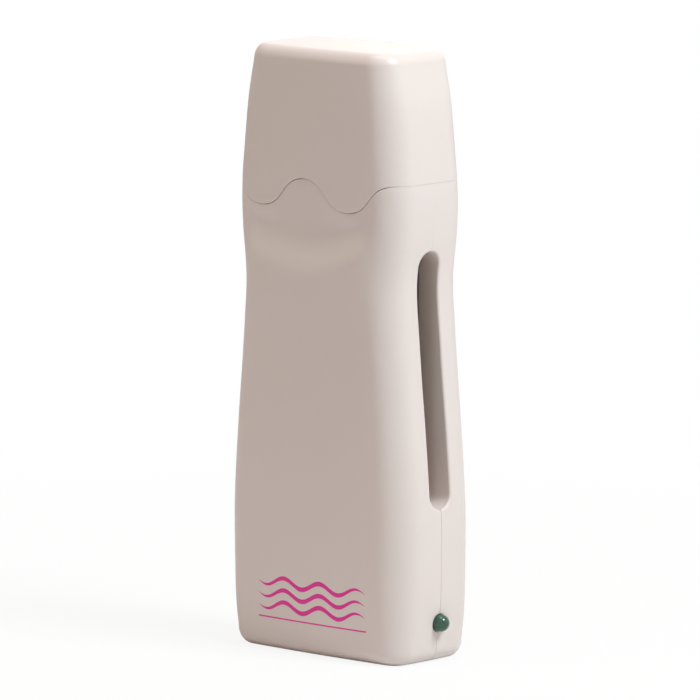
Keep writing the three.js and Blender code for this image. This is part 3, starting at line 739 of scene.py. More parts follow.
def fitted(piece, finish, slot, *nodes, body="housing"):
    """Gives a piece its finish and its place in the frame."""
    finish.paint(piece)
    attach(piece, body)
    if nodes:
        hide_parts(*nodes)


rear_ivory = ivory_finish("rear_ivory_plastic")
# The rear shell's colour carries painted shade inside the slot tunnels.
rear_ivory.set(Base_Color=painted_tunnel_shade(rear_ivory))

# Low on the front is a plain print of three waves over a line, in magenta.
printed = ivory_finish("printed_ivory_plastic")
across, depth_place, height_place = printed.axes()
print_middle, print_half_width = 1.0, 25.5
wave_count, wave_low, wave_pitch = 3, 16.4, 4.3
wave_swing, wave_length, wave_thick = 1.5, 17.0, 0.85
line_height, line_thick = 11.9, 0.28
print_depth = wall * 0.8
along_print = (across - print_middle) / print_half_width
wave_line = ((across - print_middle) * (2 * math.pi / wave_length)).sine() * wave_swing
wave_half = (1 - along_print**4) * wave_thick
above_wave = height_place - wave_line - wave_low


def stroke(half_thick, off):
    """Ink where a place is less than the half thickness off a line, with a slightly soft edge."""
    edge_softness = 0.05
    return ((half_thick - abs(off)) / edge_softness + 0.5).clamped()


covered = stroke(line_thick, height_place - line_height)
for number in range(wave_count):
    covered = covered + stroke(wave_half, above_wave - number * wave_pitch)
on_outside = (abs(along_print) < 1) * (depth_place < print_depth - half_depth)
ink = printed.between(shade("#e01293"), shade("#ee1a9e"), printed.noise(400, 2))
# Under the print, the front shell's colour also carries painted shade inside the slot tunnels.
printed.set(Base_Color=printed.between(painted_tunnel_shade(printed), ink, (covered * on_outside).clamped()))
fitted(front_shell, printed, "ivory_plastic", "front_shell")
fitted(rear_shell, rear_ivory, "ivory_plastic", "rear_shell")

# Bay liner
# The sleeve that the wax cartridge stands in, with a floor. It is moulded in brown-grey heat-resistant
# polyester, stands on the lower shelf between the shells, and has a slot in each side and a window behind.
bay_floor = bay_low[2] + bay_wall
foot_edge = 0.6
top_edge = 0.3
floor_fillet = 1.0
plate_low, plate_high = corners("heat_plate")
plate_rise = 8.0
plate_lap = 2.5
plate_foot = bay_floor + plate_rise
plate_middle = (plate_foot + plate_high[2]) / 2
window_half = (plate_high[0] - plate_lap, plate_middle - plate_foot - plate_lap)
window_corner = 2.0
past_sides = 40.0


def bend(out, up, radius, start, end, steps=4):
    """Places on an arc about a centre, as distance out and up, between two angles in degrees."""
    angles = np.radians(np.linspace(start, end, steps + 1))
    return list(zip(out + radius * np.cos(angles), up + radius * np.sin(angles)))


def filled(loop, steps=3):
    """Rounds that shrink from a loop to its middle."""
    share = np.arange(1, steps + 1)[:, None, None] / steps
    return loop + (loop.mean(0) - loop) * share


rounds = bay_points([
    *bend(bay_wall - foot_edge, bay_low[2] + foot_edge, foot_edge, -90, 0),
    *bend(bay_wall - top_edge, bay_high[2] - top_edge, top_edge, 0, 90),
    *bend(top_edge, bay_high[2] - top_edge, top_edge, 90, 180),
    *bend(-floor_fillet, bay_floor + floor_fillet, floor_fillet, 0, -90),
])
slot_rows = [(slot_radius, slot_half, slot_radius, x) for x in (-past_sides, past_sides)]
window_rows = [(*window_half[::-1], window_corner, bay_high[1] + y) for y in (-overrun, overrun)]
liner = mixed(
    "DIFFERENCE",
    wrapped("bay_sleeve", np.concatenate([filled(rounds[0])[::-1], rounds, filled(rounds[-1])])),
    bar("liner_slots", slot_rows, (0, 0, slot_middle), axis=0, steps=10),
    bar("liner_window", window_rows, (0, 0, plate_middle), axis=1),
)


def moulded_finish(name, dark, light, rough):
    """Matt engineering plastic: clouded tone, dark specks and a fine spark-eroded grain."""
    speck_start, speck_strength, rough_swing = 0.68, 0.6, 0.06
    worn = (rough - rough_swing, rough + rough_swing)
    finish = drifting(name, dark, light, (55, 3), worn, (380, 3), IOR=1.5)
    specks = finish.noise(2600, 2, 0.7) > speck_start
    finish.set(Base_Color=finish.between(finish.tone, shade(dark), specks * speck_strength))
    finish.bump(finish.noise(4200, 2), 0.2, 0.00008)
    return finish


heat_plastic = moulded_finish("heat_resistant_plastic", "#a5948a", "#b7a79b", 0.56)
fitted(liner, heat_plastic, "heat_plastic", "bay_liner")

# Heat plate
# A cut and embossed sheet of aluminium behind the liner. Its raised pad fills the window, flush with the
# wall of the bay, and its tab hangs below the bay and carries the thermostat.
plate_front, plate_rear = bay_high[1], plate_high[1]
plate_corner = 2.5
tab_half = 20.0
tab_corner = 3.0
tab_middle = (plate_low[2] + plate_middle) / 2
pad_corner = 1.8
pad_edge = 0.3


def chamfered(half_a, half_b, corner, low, high, edge=0.15):
    """Rows of a bar with both ends slightly chamfered."""
    least_corner = 0.05
    end = (half_a - edge, half_b - edge, max(corner - edge, least_corner))
    full = (half_a, half_b, corner)
    return [(*end, low), (*full, low + edge), (*full, high - edge), (*end, high)]


def slab(name, height, *sizes, x=0):
    """An upright plate about a height: half height, half width, corner radius, front, rear and chamfer."""
    return bar(name, chamfered(*sizes), (x, 0, height), axis=1)


plate_sizes = (plate_high[2] - plate_middle, plate_high[0], plate_corner, plate_front, plate_rear)
tab_sizes = (plate_middle - tab_middle, tab_half, tab_corner, plate_front, plate_rear)
pad_half = (window_half[1] - fit, window_half[0] - fit)
pad_sizes = (*pad_half, pad_corner, plate_low[1], plate_rear - pad_edge, pad_edge)
plate = mixed(
    "UNION",
    slab("heat_plate_sheet", plate_middle, *plate_sizes),
    slab("plate_tab", tab_middle, *tab_sizes),
    slab("plate_pad", plate_middle, *pad_sizes),
)


def metal_finish(name, dark, light, rough, grain, brush=(1, 1, 1)):
    """Bare or plated metal: a drift of tone and brushed or rolled grain."""
    finish = Finish(name, Metallic=1.0)
    finish.set(Base_Color=finish.between(shade(dark), shade(light), finish.noise(90, 3)))
    lines = finish.noise(grain, 4, 0.6, finish.stretched(*brush))
    rough_swing = 0.1
    finish.set(Roughness=finish.between(rough - rough_swing, rough + rough_swing, lines))
    finish.bump(lines, 0.12, 0.00004)
    return finish


aluminium = metal_finish("brushed_aluminium", "#b3b6ba", "#cdd0d3", 0.38, 2600, (1, 1, 0.04))
fitted(plate, aluminium, "aluminium", "heat_plate")

# Heating element
# A flat ceramic heater, glued to the back of the heat plate. Below it stand two flat terminals in tinned
# brass, each drilled for its wire.
element_low, element_high = corners("heating_element")
terminal_length = 5.0
terminal_half = (4.5, 2.0)
terminal_corner = 0.8
terminal_thickness = 0.8
terminal_spread = 8.0
terminal_hole = 0.75
terminal_hole_rise = 2.0
drill_reach = 2.0
element_middle = (element_low[2] + terminal_length + element_high[2]) / 2
element_half = (element_high[2] - element_middle, element_high[0])
element_corner, element_edge = 1.2, 0.3
element_sizes = (*element_half, element_corner, element_low[1], element_high[1], element_edge)
element = slab("heater_ceramic", element_middle, *element_sizes)


def blades(name, middle, spread, sizes, thickness, edge, holes):
    """Two flat terminals, one on each side of a middle, drilled for their wires. The holes are given as
    their spread, height and radius."""
    hole_spread, hole_height, hole_radius = holes
    front, rear = middle[1] - thickness / 2, middle[1] + thickness / 2
    made = []
    for side in (-1, 1):
        blade = slab(name, middle[2], *sizes, front, rear, edge, x=middle[0] + side * spread)
        place = (middle[0] + side * hole_spread, middle[1], hole_height)
        hole = rod("hole", -drill_reach, drill_reach, hole_radius, place, axis=1)
        made.append(mixed("DIFFERENCE", blade, hole))
    return mixed("UNION", *made)


terminals = blades(
    "element_terminals",
    (0, (element_low[1] + element_high[1]) / 2, element_low[2] + terminal_half[0]),
    spread=terminal_spread,
    sizes=(*terminal_half, terminal_corner),
    thickness=terminal_thickness,
    edge=0.1,
    holes=(terminal_spread, element_low[2] + terminal_hole_rise, terminal_hole),
)
ceramic = moulded_finish("white_ceramic", "#c6baa2", "#dcd2bf", 0.6)
tinned_brass = metal_finish("tinned_brass", "#b9b4a3", "#d3cfc2", 0.3, 1800, (1, 0.2, 1))
fitted(element, ceramic, "ceramic", "heating_element")
fitted(terminals, tinned_brass, "tinned_brass")

# Insulating sheet
# A sheet of amber polyimide, cut to size and laid over the back of the heating element. It keeps the heat
# and the mains off the rear shell.
sheet_low, sheet_high = corners("insulating_sheet")
sheet_middle = (sheet_low[2] + sheet_high[2]) / 2
sheet_half = (sheet_high[2] - sheet_middle, sheet_high[0])
sheet_corner, sheet_edge = 2.0, 0.05
sheet_sizes = (*sheet_half, sheet_corner, sheet_low[1], sheet_high[1], sheet_edge)
insulation = slab("polyimide_sheet", sheet_middle, *sheet_sizes)
coated = {"IOR": 1.6, "Coat_Roughness": 0.1, "Coat_Weight": 0.5}
amber = drifting("amber_polyimide", "#a8651c", "#c98630", (60, 3), (0.25, 0.4), (300, 2), **coated)
amber.bump(amber.noise(70, 2), 0.15, 0.0003)
fitted(insulation, amber, "amber_film", "insulating_sheet")

# Thermostat
# A bimetal thermostat in a case of black phenolic, with a rib at each end and a tinned brass tab beyond
# it. It lies flat against the tab of the heat plate.
thermostat_low, thermostat_high = corners("thermostat")
thermostat_middle = (thermostat_low + thermostat_high) / 2
tab_reach = (3.0, 0, 0)
tab_size = (1.5, 2.6, 0.6)
tab_thickness = 0.6
tab_hole = 0.6
tab_hole_spread = 11.3
rib_spread = 7.6
rib_low, rib_high = (-0.5, -1.95, -3.2), (0.5, -1, 3.2)
ribs = []
for side in (-1, 1):
    rib_middle = thermostat_middle + (side * rib_spread, 0, 0)
    ribs.append(block("case_rib", rib_middle + rib_low, rib_middle + rib_high, bevel=0.1))
case = block("thermostat_case", thermostat_low + tab_reach, thermostat_high - tab_reach, bevel=0.35)
mixed("UNION", case, *ribs)
tabs = blades(
    "thermostat_tabs",
    thermostat_middle,
    spread=thermostat_high[0] - thermostat_middle[0] - tab_size[1],
    sizes=tab_size,
    thickness=tab_thickness,
    edge=0.08,
    holes=(tab_hole_spread, thermostat_middle[2], tab_hole),
)
phenolic = moulded_finish("black_phenolic", "#17171a", "#26262a", 0.42)
fitted(case, phenolic, "black_plastic", "thermostat")
fitted(tabs, tinned_brass, "tinned_brass")

# Thermostat clip
# A strip of spring steel, bent over the case of the thermostat. It holds the thermostat against the tab of
# the heat plate, and its feet are turned out along that tab.
clip_low, clip_high = corners("thermostat_clip")
clip_middle = (clip_low + clip_high) / 2
clip_half = clip_high - clip_middle
clip_thickness = 0.5
clip_grip = 3.85
clip_bend = 0.45


def rounded(outline, radius, largest_share=0.45, steps=3):
    """The corners of an outline, rounded, each over no more than a share of its sides."""
    outline = np.array(outline, float)
    made = []
    for before, corner, after in zip(np.roll(outline, 1, 0), outline, np.roll(outline, -1, 0)):
        ends = []
        for neighbour in (before, after):
            length = np.linalg.norm(neighbour - corner)
            ends.append(corner + (neighbour - corner) * min(radius / length, largest_share))
        for share in np.arange(steps + 1) / steps:
            near, far = (1 - share) ** 2 * ends[0], share**2 * ends[1]
            made.append(near + 2 * share * (1 - share) * corner + far)
    return np.array(made)


def strip(name, outline, low, high, place, bevel=0.06):
    """A bent strip between two distances along x whose section is an outline of y and z, anticlockwise."""
    work = bmesh.new()
    face = work.faces.new([work.verts.new((Vector(place) + Vector((low, y, z))) * mm) for y, z in outline])
    face.normal_flip()
    drawn_out = bmesh.ops.extrude_face_region(work, geom=[face])
    for vertex in drawn_out["geom"]:
        if isinstance(vertex, bmesh.types.BMVert):
            vertex.co.x += (high - low) * mm
    bmesh.ops.recalc_face_normals(work, faces=work.faces)
    tiny = 1e-9
    rim = [edge for edge in work.edges if abs(edge.verts[0].co.x - edge.verts[1].co.x) < tiny]
    bmesh.ops.bevel(work, geom=rim, offset=bevel * mm, segments=1, profile=0.5, affect="EDGES")
    return finished(name, work)


upper = [
    (clip_low[1], clip_grip + clip_thickness),
    (clip_high[1] - clip_thickness, clip_grip + clip_thickness),
    (clip_high[1] - clip_thickness, clip_half[2]),
    (clip_high[1], clip_half[2]),
    (clip_high[1], clip_grip),
    (clip_low[1] + clip_thickness, clip_grip),
]
clip_outline = rounded(upper + [(y, -z) for y, z in upper[::-1]], clip_bend)
clip_place = (clip_middle[0], 0, thermostat_middle[2])
clip = strip("thermostat_spring_clip", clip_outline, -clip_half[0], clip_half[0], clip_place)
spring_steel = metal_finish("spring_steel", "#8f9297", "#b2b5b9", 0.28, 2200, (0.05, 1, 1))
fitted(clip, spring_steel, "spring_steel", "thermostat_clip")

# Thermal fuse
# A one-shot cut-out in a clear sleeve, in line between thermostat and element, with its leads crimped to
# the tab on one side and to the heater wire on the other.
fuse_low, fuse_high = corners("thermal_fuse")
fuse_place = (fuse_low + fuse_high) / 2
fuse_lead = 3.4
lead_radius = 0.4
fuse_reach = fuse_high[0] - fuse_place[0]
sleeve_reach = fuse_reach - fuse_lead
sleeve_edge = 0.4
sleeve_radius = 1.6
sleeve_mouth = 1.1


def mirrored(half):
    """An outline from its first half, which is given by distances before its middle."""
    return [(-before, radius) for before, radius in half] + half[::-1]


shoulder = sleeve_radius - sleeve_edge
sleeve_round = [
    (sleeve_reach - sleeve_edge * (1 - math.cos(angle)), shoulder + sleeve_edge * math.sin(angle))
    for angle in (0.5, 1.0, math.pi / 2)
]
sleeve_outline = [(sleeve_reach, 0), (sleeve_reach, sleeve_mouth), *sleeve_round]
fuse = turned("fuse_sleeve", mirrored(sleeve_outline), fuse_place)
core_steps = ((0.6, lead_radius), (0.8, 1.15), (2.2, 1.25), (2.3, 1.05))
core_outline = [(sleeve_reach - inside, radius) for inside, radius in core_steps]
core_outline = [(fuse_reach, 0), (fuse_reach, lead_radius), *core_outline]
fuse_core = turned("fuse_core", mirrored(core_outline), fuse_place)
silicone = {"IOR": 1.42, "Transmission_Weight": 0.7}
clear_sleeve = drifting(
    "clear_silicone_sleeve", "#e2ddd0", "#efece4", (200, 3), (0.25, 0.4), (700, 2), **silicone
)
fitted(fuse, clear_sleeve, "clear_sleeve", "thermal_fuse")
fitted(fuse_core, tinned_brass, "tinned_brass")

# Mains inlet
# A two-pole inlet for a mains lead, moulded in black plastic. It is pushed through the rear shell from
# inside and held by its flange.
socket_depth = 12.0
inlet_depth = 14.4
socket_half = (4.2, 8.2)
flange_half = (8.7, 12.7)
flange_thickness = 1.6
flange_edge = 0.3
nose_edge = 0.6
rear_edge = 0.3
deep_share = form(np.array((inlet_height - flange_half[0]) / tall))
flange_bow = crown_sagitta * (flange_half[1] / (half_width * deep_share[0])) ** 2
flange_face = half_depth * deep_share[1] - flange_bow - wall - fit
pin_radius = 1.2
pin_hole_gap = 0.05
pin_low, pin_high = corners("inlet_pin_right")
pin_x = (pin_low[0] + pin_high[0]) / 2


def grown(half, corner, out, y):
    """One rounded rectangle of a bar, made larger all round."""
    return (half[0] + out, half[1] + out, corner + out, y)


nose_rounds = [(-rear_edge, -inlet_depth), (0, rear_edge - inlet_depth)]
nose_rounds += [(out - nose_edge, up - nose_edge) for out, up in bend(0, 0, nose_edge, 0, 90)]
nose_rounds = [grown(nose_half, nose_corner, out, nose_face + y) for out, y in nose_rounds]
flange_span = (flange_face - flange_thickness, flange_face)
flange_rounds = chamfered(*flange_half, flange_half[0], *flange_span, flange_edge)
socket_rounds = ((0, -socket_depth), (0, -0.45), (0.1, -0.15), (0.4, 0), (0.4, 1))
socket_rounds = [grown(socket_half, socket_half[0], out, nose_face + y) for out, y in socket_rounds]
inlet, flange, socket = (
    bar(name, rows, inlet_place, axis=1, steps=10)
    for name, rows in (
        ("inlet_nose", nose_rounds),
        ("inlet_flange", flange_rounds),
        ("inlet_socket", socket_rounds),
    )
)
hole_inset = 2.0
hole_span = (pin_low[1] + hole_inset, nose_face - socket_depth + hole_lap)
pin_holes = [
    rod("pin_hole", *hole_span, pin_radius + pin_hole_gap, (x, 0, inlet_height), axis=1)
    for x in (-pin_x, pin_x)
]
mixed("DIFFERENCE", mixed("UNION", inlet, flange), socket, *pin_holes)
black_plastic = moulded_finish("black_inlet_plastic", "#1b1b1e", "#2b2b2f", 0.46)
fitted(inlet, black_plastic, "black_plastic", "inlet_body")

# Inlet pins
# Two round pins, turned in tinned brass, each with a rounded tip. They are pressed through the floor of the
# inlet's socket.
pin_edge = 0.3


class Pattern(Nodes):
    """A Geometry Nodes tree with named inputs, which ends in Realize Instances and Set Material."""

    def __init__(self, name, **inputs):
        super().__init__(bpy.data.node_groups.new(name, "GeometryNodeTree"))
        kinds = {"Source": "Geometry", **inputs, "Finish": "Material"}
        self.sockets = {}
        for title, kind in kinds.items():
            socket = self.tree.interface.new_socket(title, in_out="INPUT", socket_type="NodeSocket" + kind)
            self.sockets[title] = socket.identifier
        self.tree.interface.new_socket("Result", in_out="OUTPUT", socket_type="NodeSocketGeometry")
        given = self.tree.nodes.new("NodeGroupInput")
        self.given = {title: Value(self, given.outputs[title]) for title in kinds}

    def end(self, geometry):
        whole = self.node("GeometryNodeRealizeInstances", {}, {0: geometry})
        values = {"Geometry": whole, "Material": self.given["Finish"]}
        painted = self.node("GeometryNodeSetMaterial", {}, values)
        self.connect(self.tree.nodes.new("NodeGroupOutput").inputs[0], painted)

    def piece(self, name, points, edges, finish, crease=usual_crease, **values):
        """The pattern on a mesh of points and edges in millimetres, as a plain mesh."""
        source = bpy.data.meshes.new(name)
        source.from_pydata((np.array(points, float) * mm).tolist(), edges, [])
        carrier = added(name, source)
        change = carrier.modifiers.new(name, "NODES")
        change.node_group = self.tree
        for title, value in {**values, "Finish": finish.material}.items():
            change[self.sockets[title]] = value
        depsgraph = bpy.context.evaluated_depsgraph_get()
        mesh = bpy.data.meshes.new_from_object(carrier.evaluated_get(depsgraph))
        carrier.modifiers.clear()
        bpy.data.meshes.remove(source)
        for value in values.values():
            if isinstance(value, bpy.types.Object):
                bpy.data.meshes.remove(value.data)
        return added(name, smoothed(mesh, crease))


copies = Pattern("copies_on_points", Form="Object", Turn="Float", Seed="Int")
copied = copies.node(
    "GeometryNodeObjectInfo", {"transform_space": "ORIGINAL"}, {"Object": copies.given["Form"]}, "Geometry"
)
least, most = 2, 3
limits = {least: -1 * copies.given["Turn"], most: copies.given["Turn"], "Seed": copies.given["Seed"]}
turn = copies.node("FunctionNodeRandomValue", {"data_type": "FLOAT"}, limits, 1)
turned_by = copies.node("ShaderNodeCombineXYZ", {}, {"Y": turn})
turned_by = copies.node("FunctionNodeEulerToRotation", {}, {0: turned_by})
placed = {"Points": copies.given["Source"], "Instance": copied, "Rotation": turned_by}
copies.end(copies.node("GeometryNodeInstanceOnPoints", {}, placed))
pin_length = pin_high[1] - pin_low[1]
pin_outline = [(-pin_length, 0), (-pin_length, pin_radius - pin_edge), (pin_edge - pin_length, pin_radius)]
pin_outline += [(out - pin_radius, up) for up, out in bend(0, 0, pin_radius, 0, 90, 6)]
pin_form = turned("pin_form", pin_outline, axis=1)


def on_pins(name, y, form):
    """A form at one depth on both pins."""
    places = [(x, y, inlet_height) for x in (-pin_x, pin_x)]
    return copies.piece(name, places, [], tinned_brass, Form=form, Turn=0.0, Seed=1)


pins = on_pins("inlet_pins", pin_high[1], pin_form)
fitted(pins, tinned_brass, "tinned_brass", "inlet_pin_left", "inlet_pin_right")

# Receptacles
# Two push-on receptacles, stamped and bent from tinned brass, one on the inner end of each pin. The end of
# a wire is crimped into each.
receptacle_low, receptacle_high = corners("receptacle_right")
box_low, box_high = (-2.5, -3.6, -2), (2.5, 0, 2)
neck_low, neck_high = (-1.6, -4.6, -1.4), (1.6, -3.2, 1.4)
crimp_span, crimp_radius = (-7, -4), 1.5
pin_bore_span = (-5.8, 1)
wire_bore_span, wire_bore_radius = (-8, -6), 0.9
crimp_seam_low, crimp_seam_high = (-0.15, -8, 0.6), (0.15, -4.7, 3)
spring_slit_low, spring_slit_high = (-0.2, -2.6, 0.8), (0.2, 1, 3)
receptacle_form = mixed(
    "UNION",
    block("receptacle_box", box_low, box_high, bevel=0.6, steps=3),
    block("receptacle_neck", neck_low, neck_high, bevel=0.4, steps=3),
    rod("receptacle_crimp", *crimp_span, crimp_radius, axis=1, edge=0.25),
)
mixed(
    "DIFFERENCE",
    receptacle_form,
    rod("receptacle_bore", *pin_bore_span, pin_radius + pilot_gap, axis=1),
    rod("wire_bore", *wire_bore_span, wire_bore_radius, axis=1),
    block("crimp_seam", crimp_seam_low, crimp_seam_high),
    block("spring_slit", spring_slit_low, spring_slit_high),
)
receptacles = on_pins("pin_receptacles", receptacle_high[1], receptacle_form)
fitted(receptacles, tinned_brass, "tinned_brass", "receptacle_left", "receptacle_right")

# Pilot lens
# A domed lens for the pilot lamp, moulded in clear green acrylic. It is pushed out through the right side
# from inside and held by its flange.
lens_low, lens_high = corners("lamp_lens")
lamp_axis = (0, 0, lens_height)
lens_radius = 3.1
lens_flange = 4.0
lens_flange_thickness = 1.2
lens_edge = 0.2
dome_start = lens_high[0] - lens_radius + side_fullness
lens_outline = [
    (2.6, 0),
    (2.4, 1.2),
    (1.4, 1.9),
    (0, 2.1),
    (0, lens_flange - lens_edge),
    (lens_edge, lens_flange),
    (lens_flange_thickness - lens_edge, lens_flange),
    (lens_flange_thickness, lens_flange - lens_edge),
    (lens_flange_thickness, lens_radius),
]
lens_outline = [(lens_low[0] + along, radius) for along, radius in lens_outline]
lens_outline += [(dome_start + up, out) for out, up in bend(0, 0, lens_radius, 0, 90, 16)]
lens = turned("pilot_lens", lens_outline, lamp_axis, sides=48)
green = Finish("green_acrylic", IOR=1.49, Transmission_Weight=0.55, Roughness=0.06, Coat_Weight=0.6)
green.set(Base_Color=green.between(shade("#0a5a3c"), shade("#137a52"), green.noise(900, 2)))
fitted(lens, green, "green_lens", "lamp_lens")

# Lamp bulb
# A neon bulb in thin glass, with two tinned leads at its foot. It lies in its holder on the axis of the
# lens and shines into it.
bulb_low, bulb_high = corners("lamp_bulb")
bulb_radius = 2.5
bulb_lead = 4.0
bulb_spread = 1.2
glass_thickness = 0.4
glass_foot = 2.2
lead_rise = 9.0
glass_base = bulb_low[0] + bulb_lead


def envelope(inset, foot):
    """Places on the skin of the bulb, inside it by the inset, from its foot to its tip."""
    radius = bulb_radius - inset
    dome = [(bulb_high[0] - bulb_radius + up, out) for out, up in bend(0, 0, radius, 0, 90, 8)]
    return [(foot, 0), (foot, radius - glass_thickness), (foot + glass_thickness, radius), *dome]


bulb = turned("lamp_envelope", envelope(0, glass_base), lamp_axis)
hollow_outline = envelope(glass_thickness, glass_base + glass_foot)
mixed("DIFFERENCE", bulb, turned("lamp_hollow", hollow_outline, lamp_axis))


def thin_lead(name, low, high, place):
    """A straight length of tinned wire."""
    return rod(name, low, high, lead_radius, place, sides=16, edge=0.1)


lamp_leads = mixed("UNION", *(
    thin_lead("lamp_leads", bulb_low[0], glass_base + lead_rise, (0, y, lens_height))
    for y in (-bulb_spread, bulb_spread)
))
thin_glass = {"IOR": 1.5, "Transmission_Weight": 1.0}
glass = drifting("lamp_glass", "#dfe6e0", "#f2f5f2", (300, 2), (0.02, 0.07), (900, 2), **thin_glass)
fitted(bulb, glass, "lamp_glass", "lamp_bulb")
fitted(lamp_leads, tinned_brass, "tinned_brass")

# Lamp holder
# A bracket in brown-grey heat-resistant polyester, which stands on the floor of the shells. The bulb is
# pushed into its bore, and a slit above the bore lets it give.
holder_low, holder_high = corners("lamp_holder")
holder_middle = (holder_low + holder_high) / 2
holder_half = holder_high - holder_middle
holder_corner = 1.4
holder_edge = 0.3
bulb_gap = 0.1
slit_half = 0.6
slit_top = 22.0
relief_half = 2.6
relief_low, relief_high = 3.6, 9.6
relief_depth = 1.6
bracket_rows = chamfered(*holder_half[1:], holder_corner, holder_low[0], holder_high[0], holder_edge)
cut_past = 1.0
reliefs = [
    block("holder_relief", (low, -relief_half, relief_low), (high, relief_half, relief_high))
    for low, high in (
        (holder_low[0] - cut_past, holder_low[0] + relief_depth),
        (holder_high[0] - relief_depth, holder_high[0] + cut_past),
    )
]
bore_span = (holder_low[0] - 2 * cut_past, holder_high[0] + 2 * cut_past)
slit_low_corner = (holder_low[0] - cut_past, -slit_half, lens_height)
slit_high_corner = (holder_high[0] + cut_past, slit_half, slit_top)
holder = mixed(
    "DIFFERENCE",
    bar("lamp_bracket", bracket_rows, (0, 0, holder_middle[2]), axis=0),
    rod("holder_bore", *bore_span, bulb_radius + bulb_gap, lamp_axis),
    block("holder_slit", slit_low_corner, slit_high_corner),
    *reliefs,
)
fitted(holder, heat_plastic, "heat_plastic", "lamp_holder")

# Lamp resistor
# A ceramic resistor with four painted bands. It hangs on its own tinned leads, in line with one lead of
# the bulb.
resistor_low, resistor_high = corners("lamp_resistor")
resistor_middle = (resistor_low[1] + resistor_high[1]) / 2
resistor_lead = 3.0
resistor_start = resistor_low[0] + resistor_lead
resistor_reach = 3.25
resistor_half = ((0, 0), (0, 0.55), (0.2, 0.9), (0.6, 1.12), (1.2, 1.15), (1.7, 1.05), (2.1, 0.93))
resistor = turned(
    "lamp_resistor_body",
    mirrored([(resistor_reach - along, radius) for along, radius in resistor_half]),
    (resistor_start + resistor_reach, resistor_middle, lens_height),
    sides=24,
    crease=50,
)
resistor_leads = thin_lead(
    "resistor_leads", resistor_low[0], resistor_high[0], (0, resistor_middle, lens_height)
)
banded = drifting("banded_ceramic", "#cdbf9c", "#ddd0b0", (500, 2), (0.3, 0.45), (800, 2), IOR=1.5)
band_half = 0.28
along_resistor = banded.axes()[0] - resistor_start
coat = banded.tone
for middle, paint in ((0.95, "#5a3018"), (2.6, "#1c1c1c"), (3.6, "#c9a020"), (5.5, "#a8862f")):
    coat = banded.between(coat, shade(paint), abs(along_resistor - middle) < band_half)
banded.set(Base_Color=coat)
fitted(resistor, banded, "ceramic", "lamp_resistor")
fitted(resistor_leads, tinned_brass, "tinned_brass")

# Wires
# Silicone and PVC insulated copper: brown live, blue neutral and a white heater wire in heat-proof
# sleeving. They run below the bay, round the tab of the plate and up behind it to the element.
wire_radius = 0.85
lamp_wire_radius = 0.6
wire_bend = 5.0
clearance = 0.15


def route(points, steps=8):
    """A centripetal curve through the points, which runs straight on at its ends."""
    points = np.array(points, float)
    points = np.vstack([2 * points[0] - points[1], points, 2 * points[-1] - points[-2]])
    gap = np.linalg.norm(np.diff(points, axis=0), axis=1)[:, None] ** 0.5
    slope = np.diff(points, axis=0) / gap
    made = []
    for at in range(1, len(points) - 2):
        before, here, after = gap[at - 1 : at + 2]
        leave = slope[at - 1] - (points[at + 1] - points[at - 1]) / (before + here) + slope[at]
        reach = slope[at] - (points[at + 2] - points[at]) / (here + after) + slope[at + 1]
        share = (np.arange(steps) / steps)[:, None]
        made.append(
            points[at] * (1 + 2 * share) * (1 - share) ** 2
            + points[at + 1] * share**2 * (3 - 2 * share)
            + leave * here * share * (1 - share) ** 2
            + reach * here * share**2 * (share - 1)
        )
    return np.concatenate([*made, points[-2:-1]])


insulated = Pattern("wire_on_path", Radius="Float", Sides="Int")
path = insulated.node("GeometryNodeMeshToCurve", {}, {"Mesh": insulated.given["Source"]})
round_section = {"Resolution": insulated.given["Sides"], "Radius": insulated.given["Radius"]}
section = insulated.node("GeometryNodeCurvePrimitiveCircle", {"mode": "RADIUS"}, round_section)
drawn = {"Curve": path, "Profile Curve": section, "Fill Caps": True}
insulated.end(insulated.node("GeometryNodeCurveToMesh", {}, drawn))


def wire(name, node, radius, finish, slot, points):
    """A round wire along the curve through the points, fitted in the housing."""
    points = route(points)
    edges = [(at, at + 1) for at in range(len(points) - 1)]
    made = insulated.piece(name, points, edges, finish, crease=50, Radius=radius * mm, Sides=16)
    fitted(made, finish, slot, node)


def wire_finish(name, dark, light):
    """Insulation: an even colour with faint smears and the slight waviness of extruded plastic."""
    finish = drifting(name, dark, light, (150, 3), (0.36, 0.52), (500, 3), IOR=1.46)
    finish.bump(finish.noise(900, 2), 0.15, 0.00005)
    return finish


brown = wire_finish("brown_insulation", "#5e3420", "#6f4029")
blue = wire_finish("blue_insulation", "#2b5aa8", "#376bbd")
white = wire_finish("white_heat_sleeving", "#dedacf", "#efece4")
_, thermostat_depth, thermostat_height = thermostat_middle
wire_start = receptacle_low[1] - fit
ahead = wire_start - wire_bend
far_ahead = ahead - 2 * wire_bend
beside_tab = tab_half + 2 * wire_radius + fit
behind_plate = plate_rear + wire_radius + clearance
terminal_end = element_low[2] - fit
climb = thermostat_height - inlet_height
thermostat_end = thermostat_low[0] - fit
receptacle_middle = (receptacle_low[1] + receptacle_high[1]) / 2
receptacle_foot = inlet_height + box_low[2] - fit
lead_end = bulb_low[0] - fit


def up_to(x):
    """Behind the plate, up to a terminal of the element."""
    return [
        (math.copysign(beside_tab, x), behind_plate, bay_low[2] + wire_radius),
        (x + math.copysign(wire_bend, x), behind_plate, plate_foot),
        (x, behind_plate, terminal_end - wire_bend),
        (x, behind_plate, terminal_end),
    ]


def up_to_receptacle(x):
    """Straight up to the foot of a receptacle."""
    return [(x, receptacle_middle, receptacle_foot - drop) for drop in (2 * lamp_wire_radius, 0)]


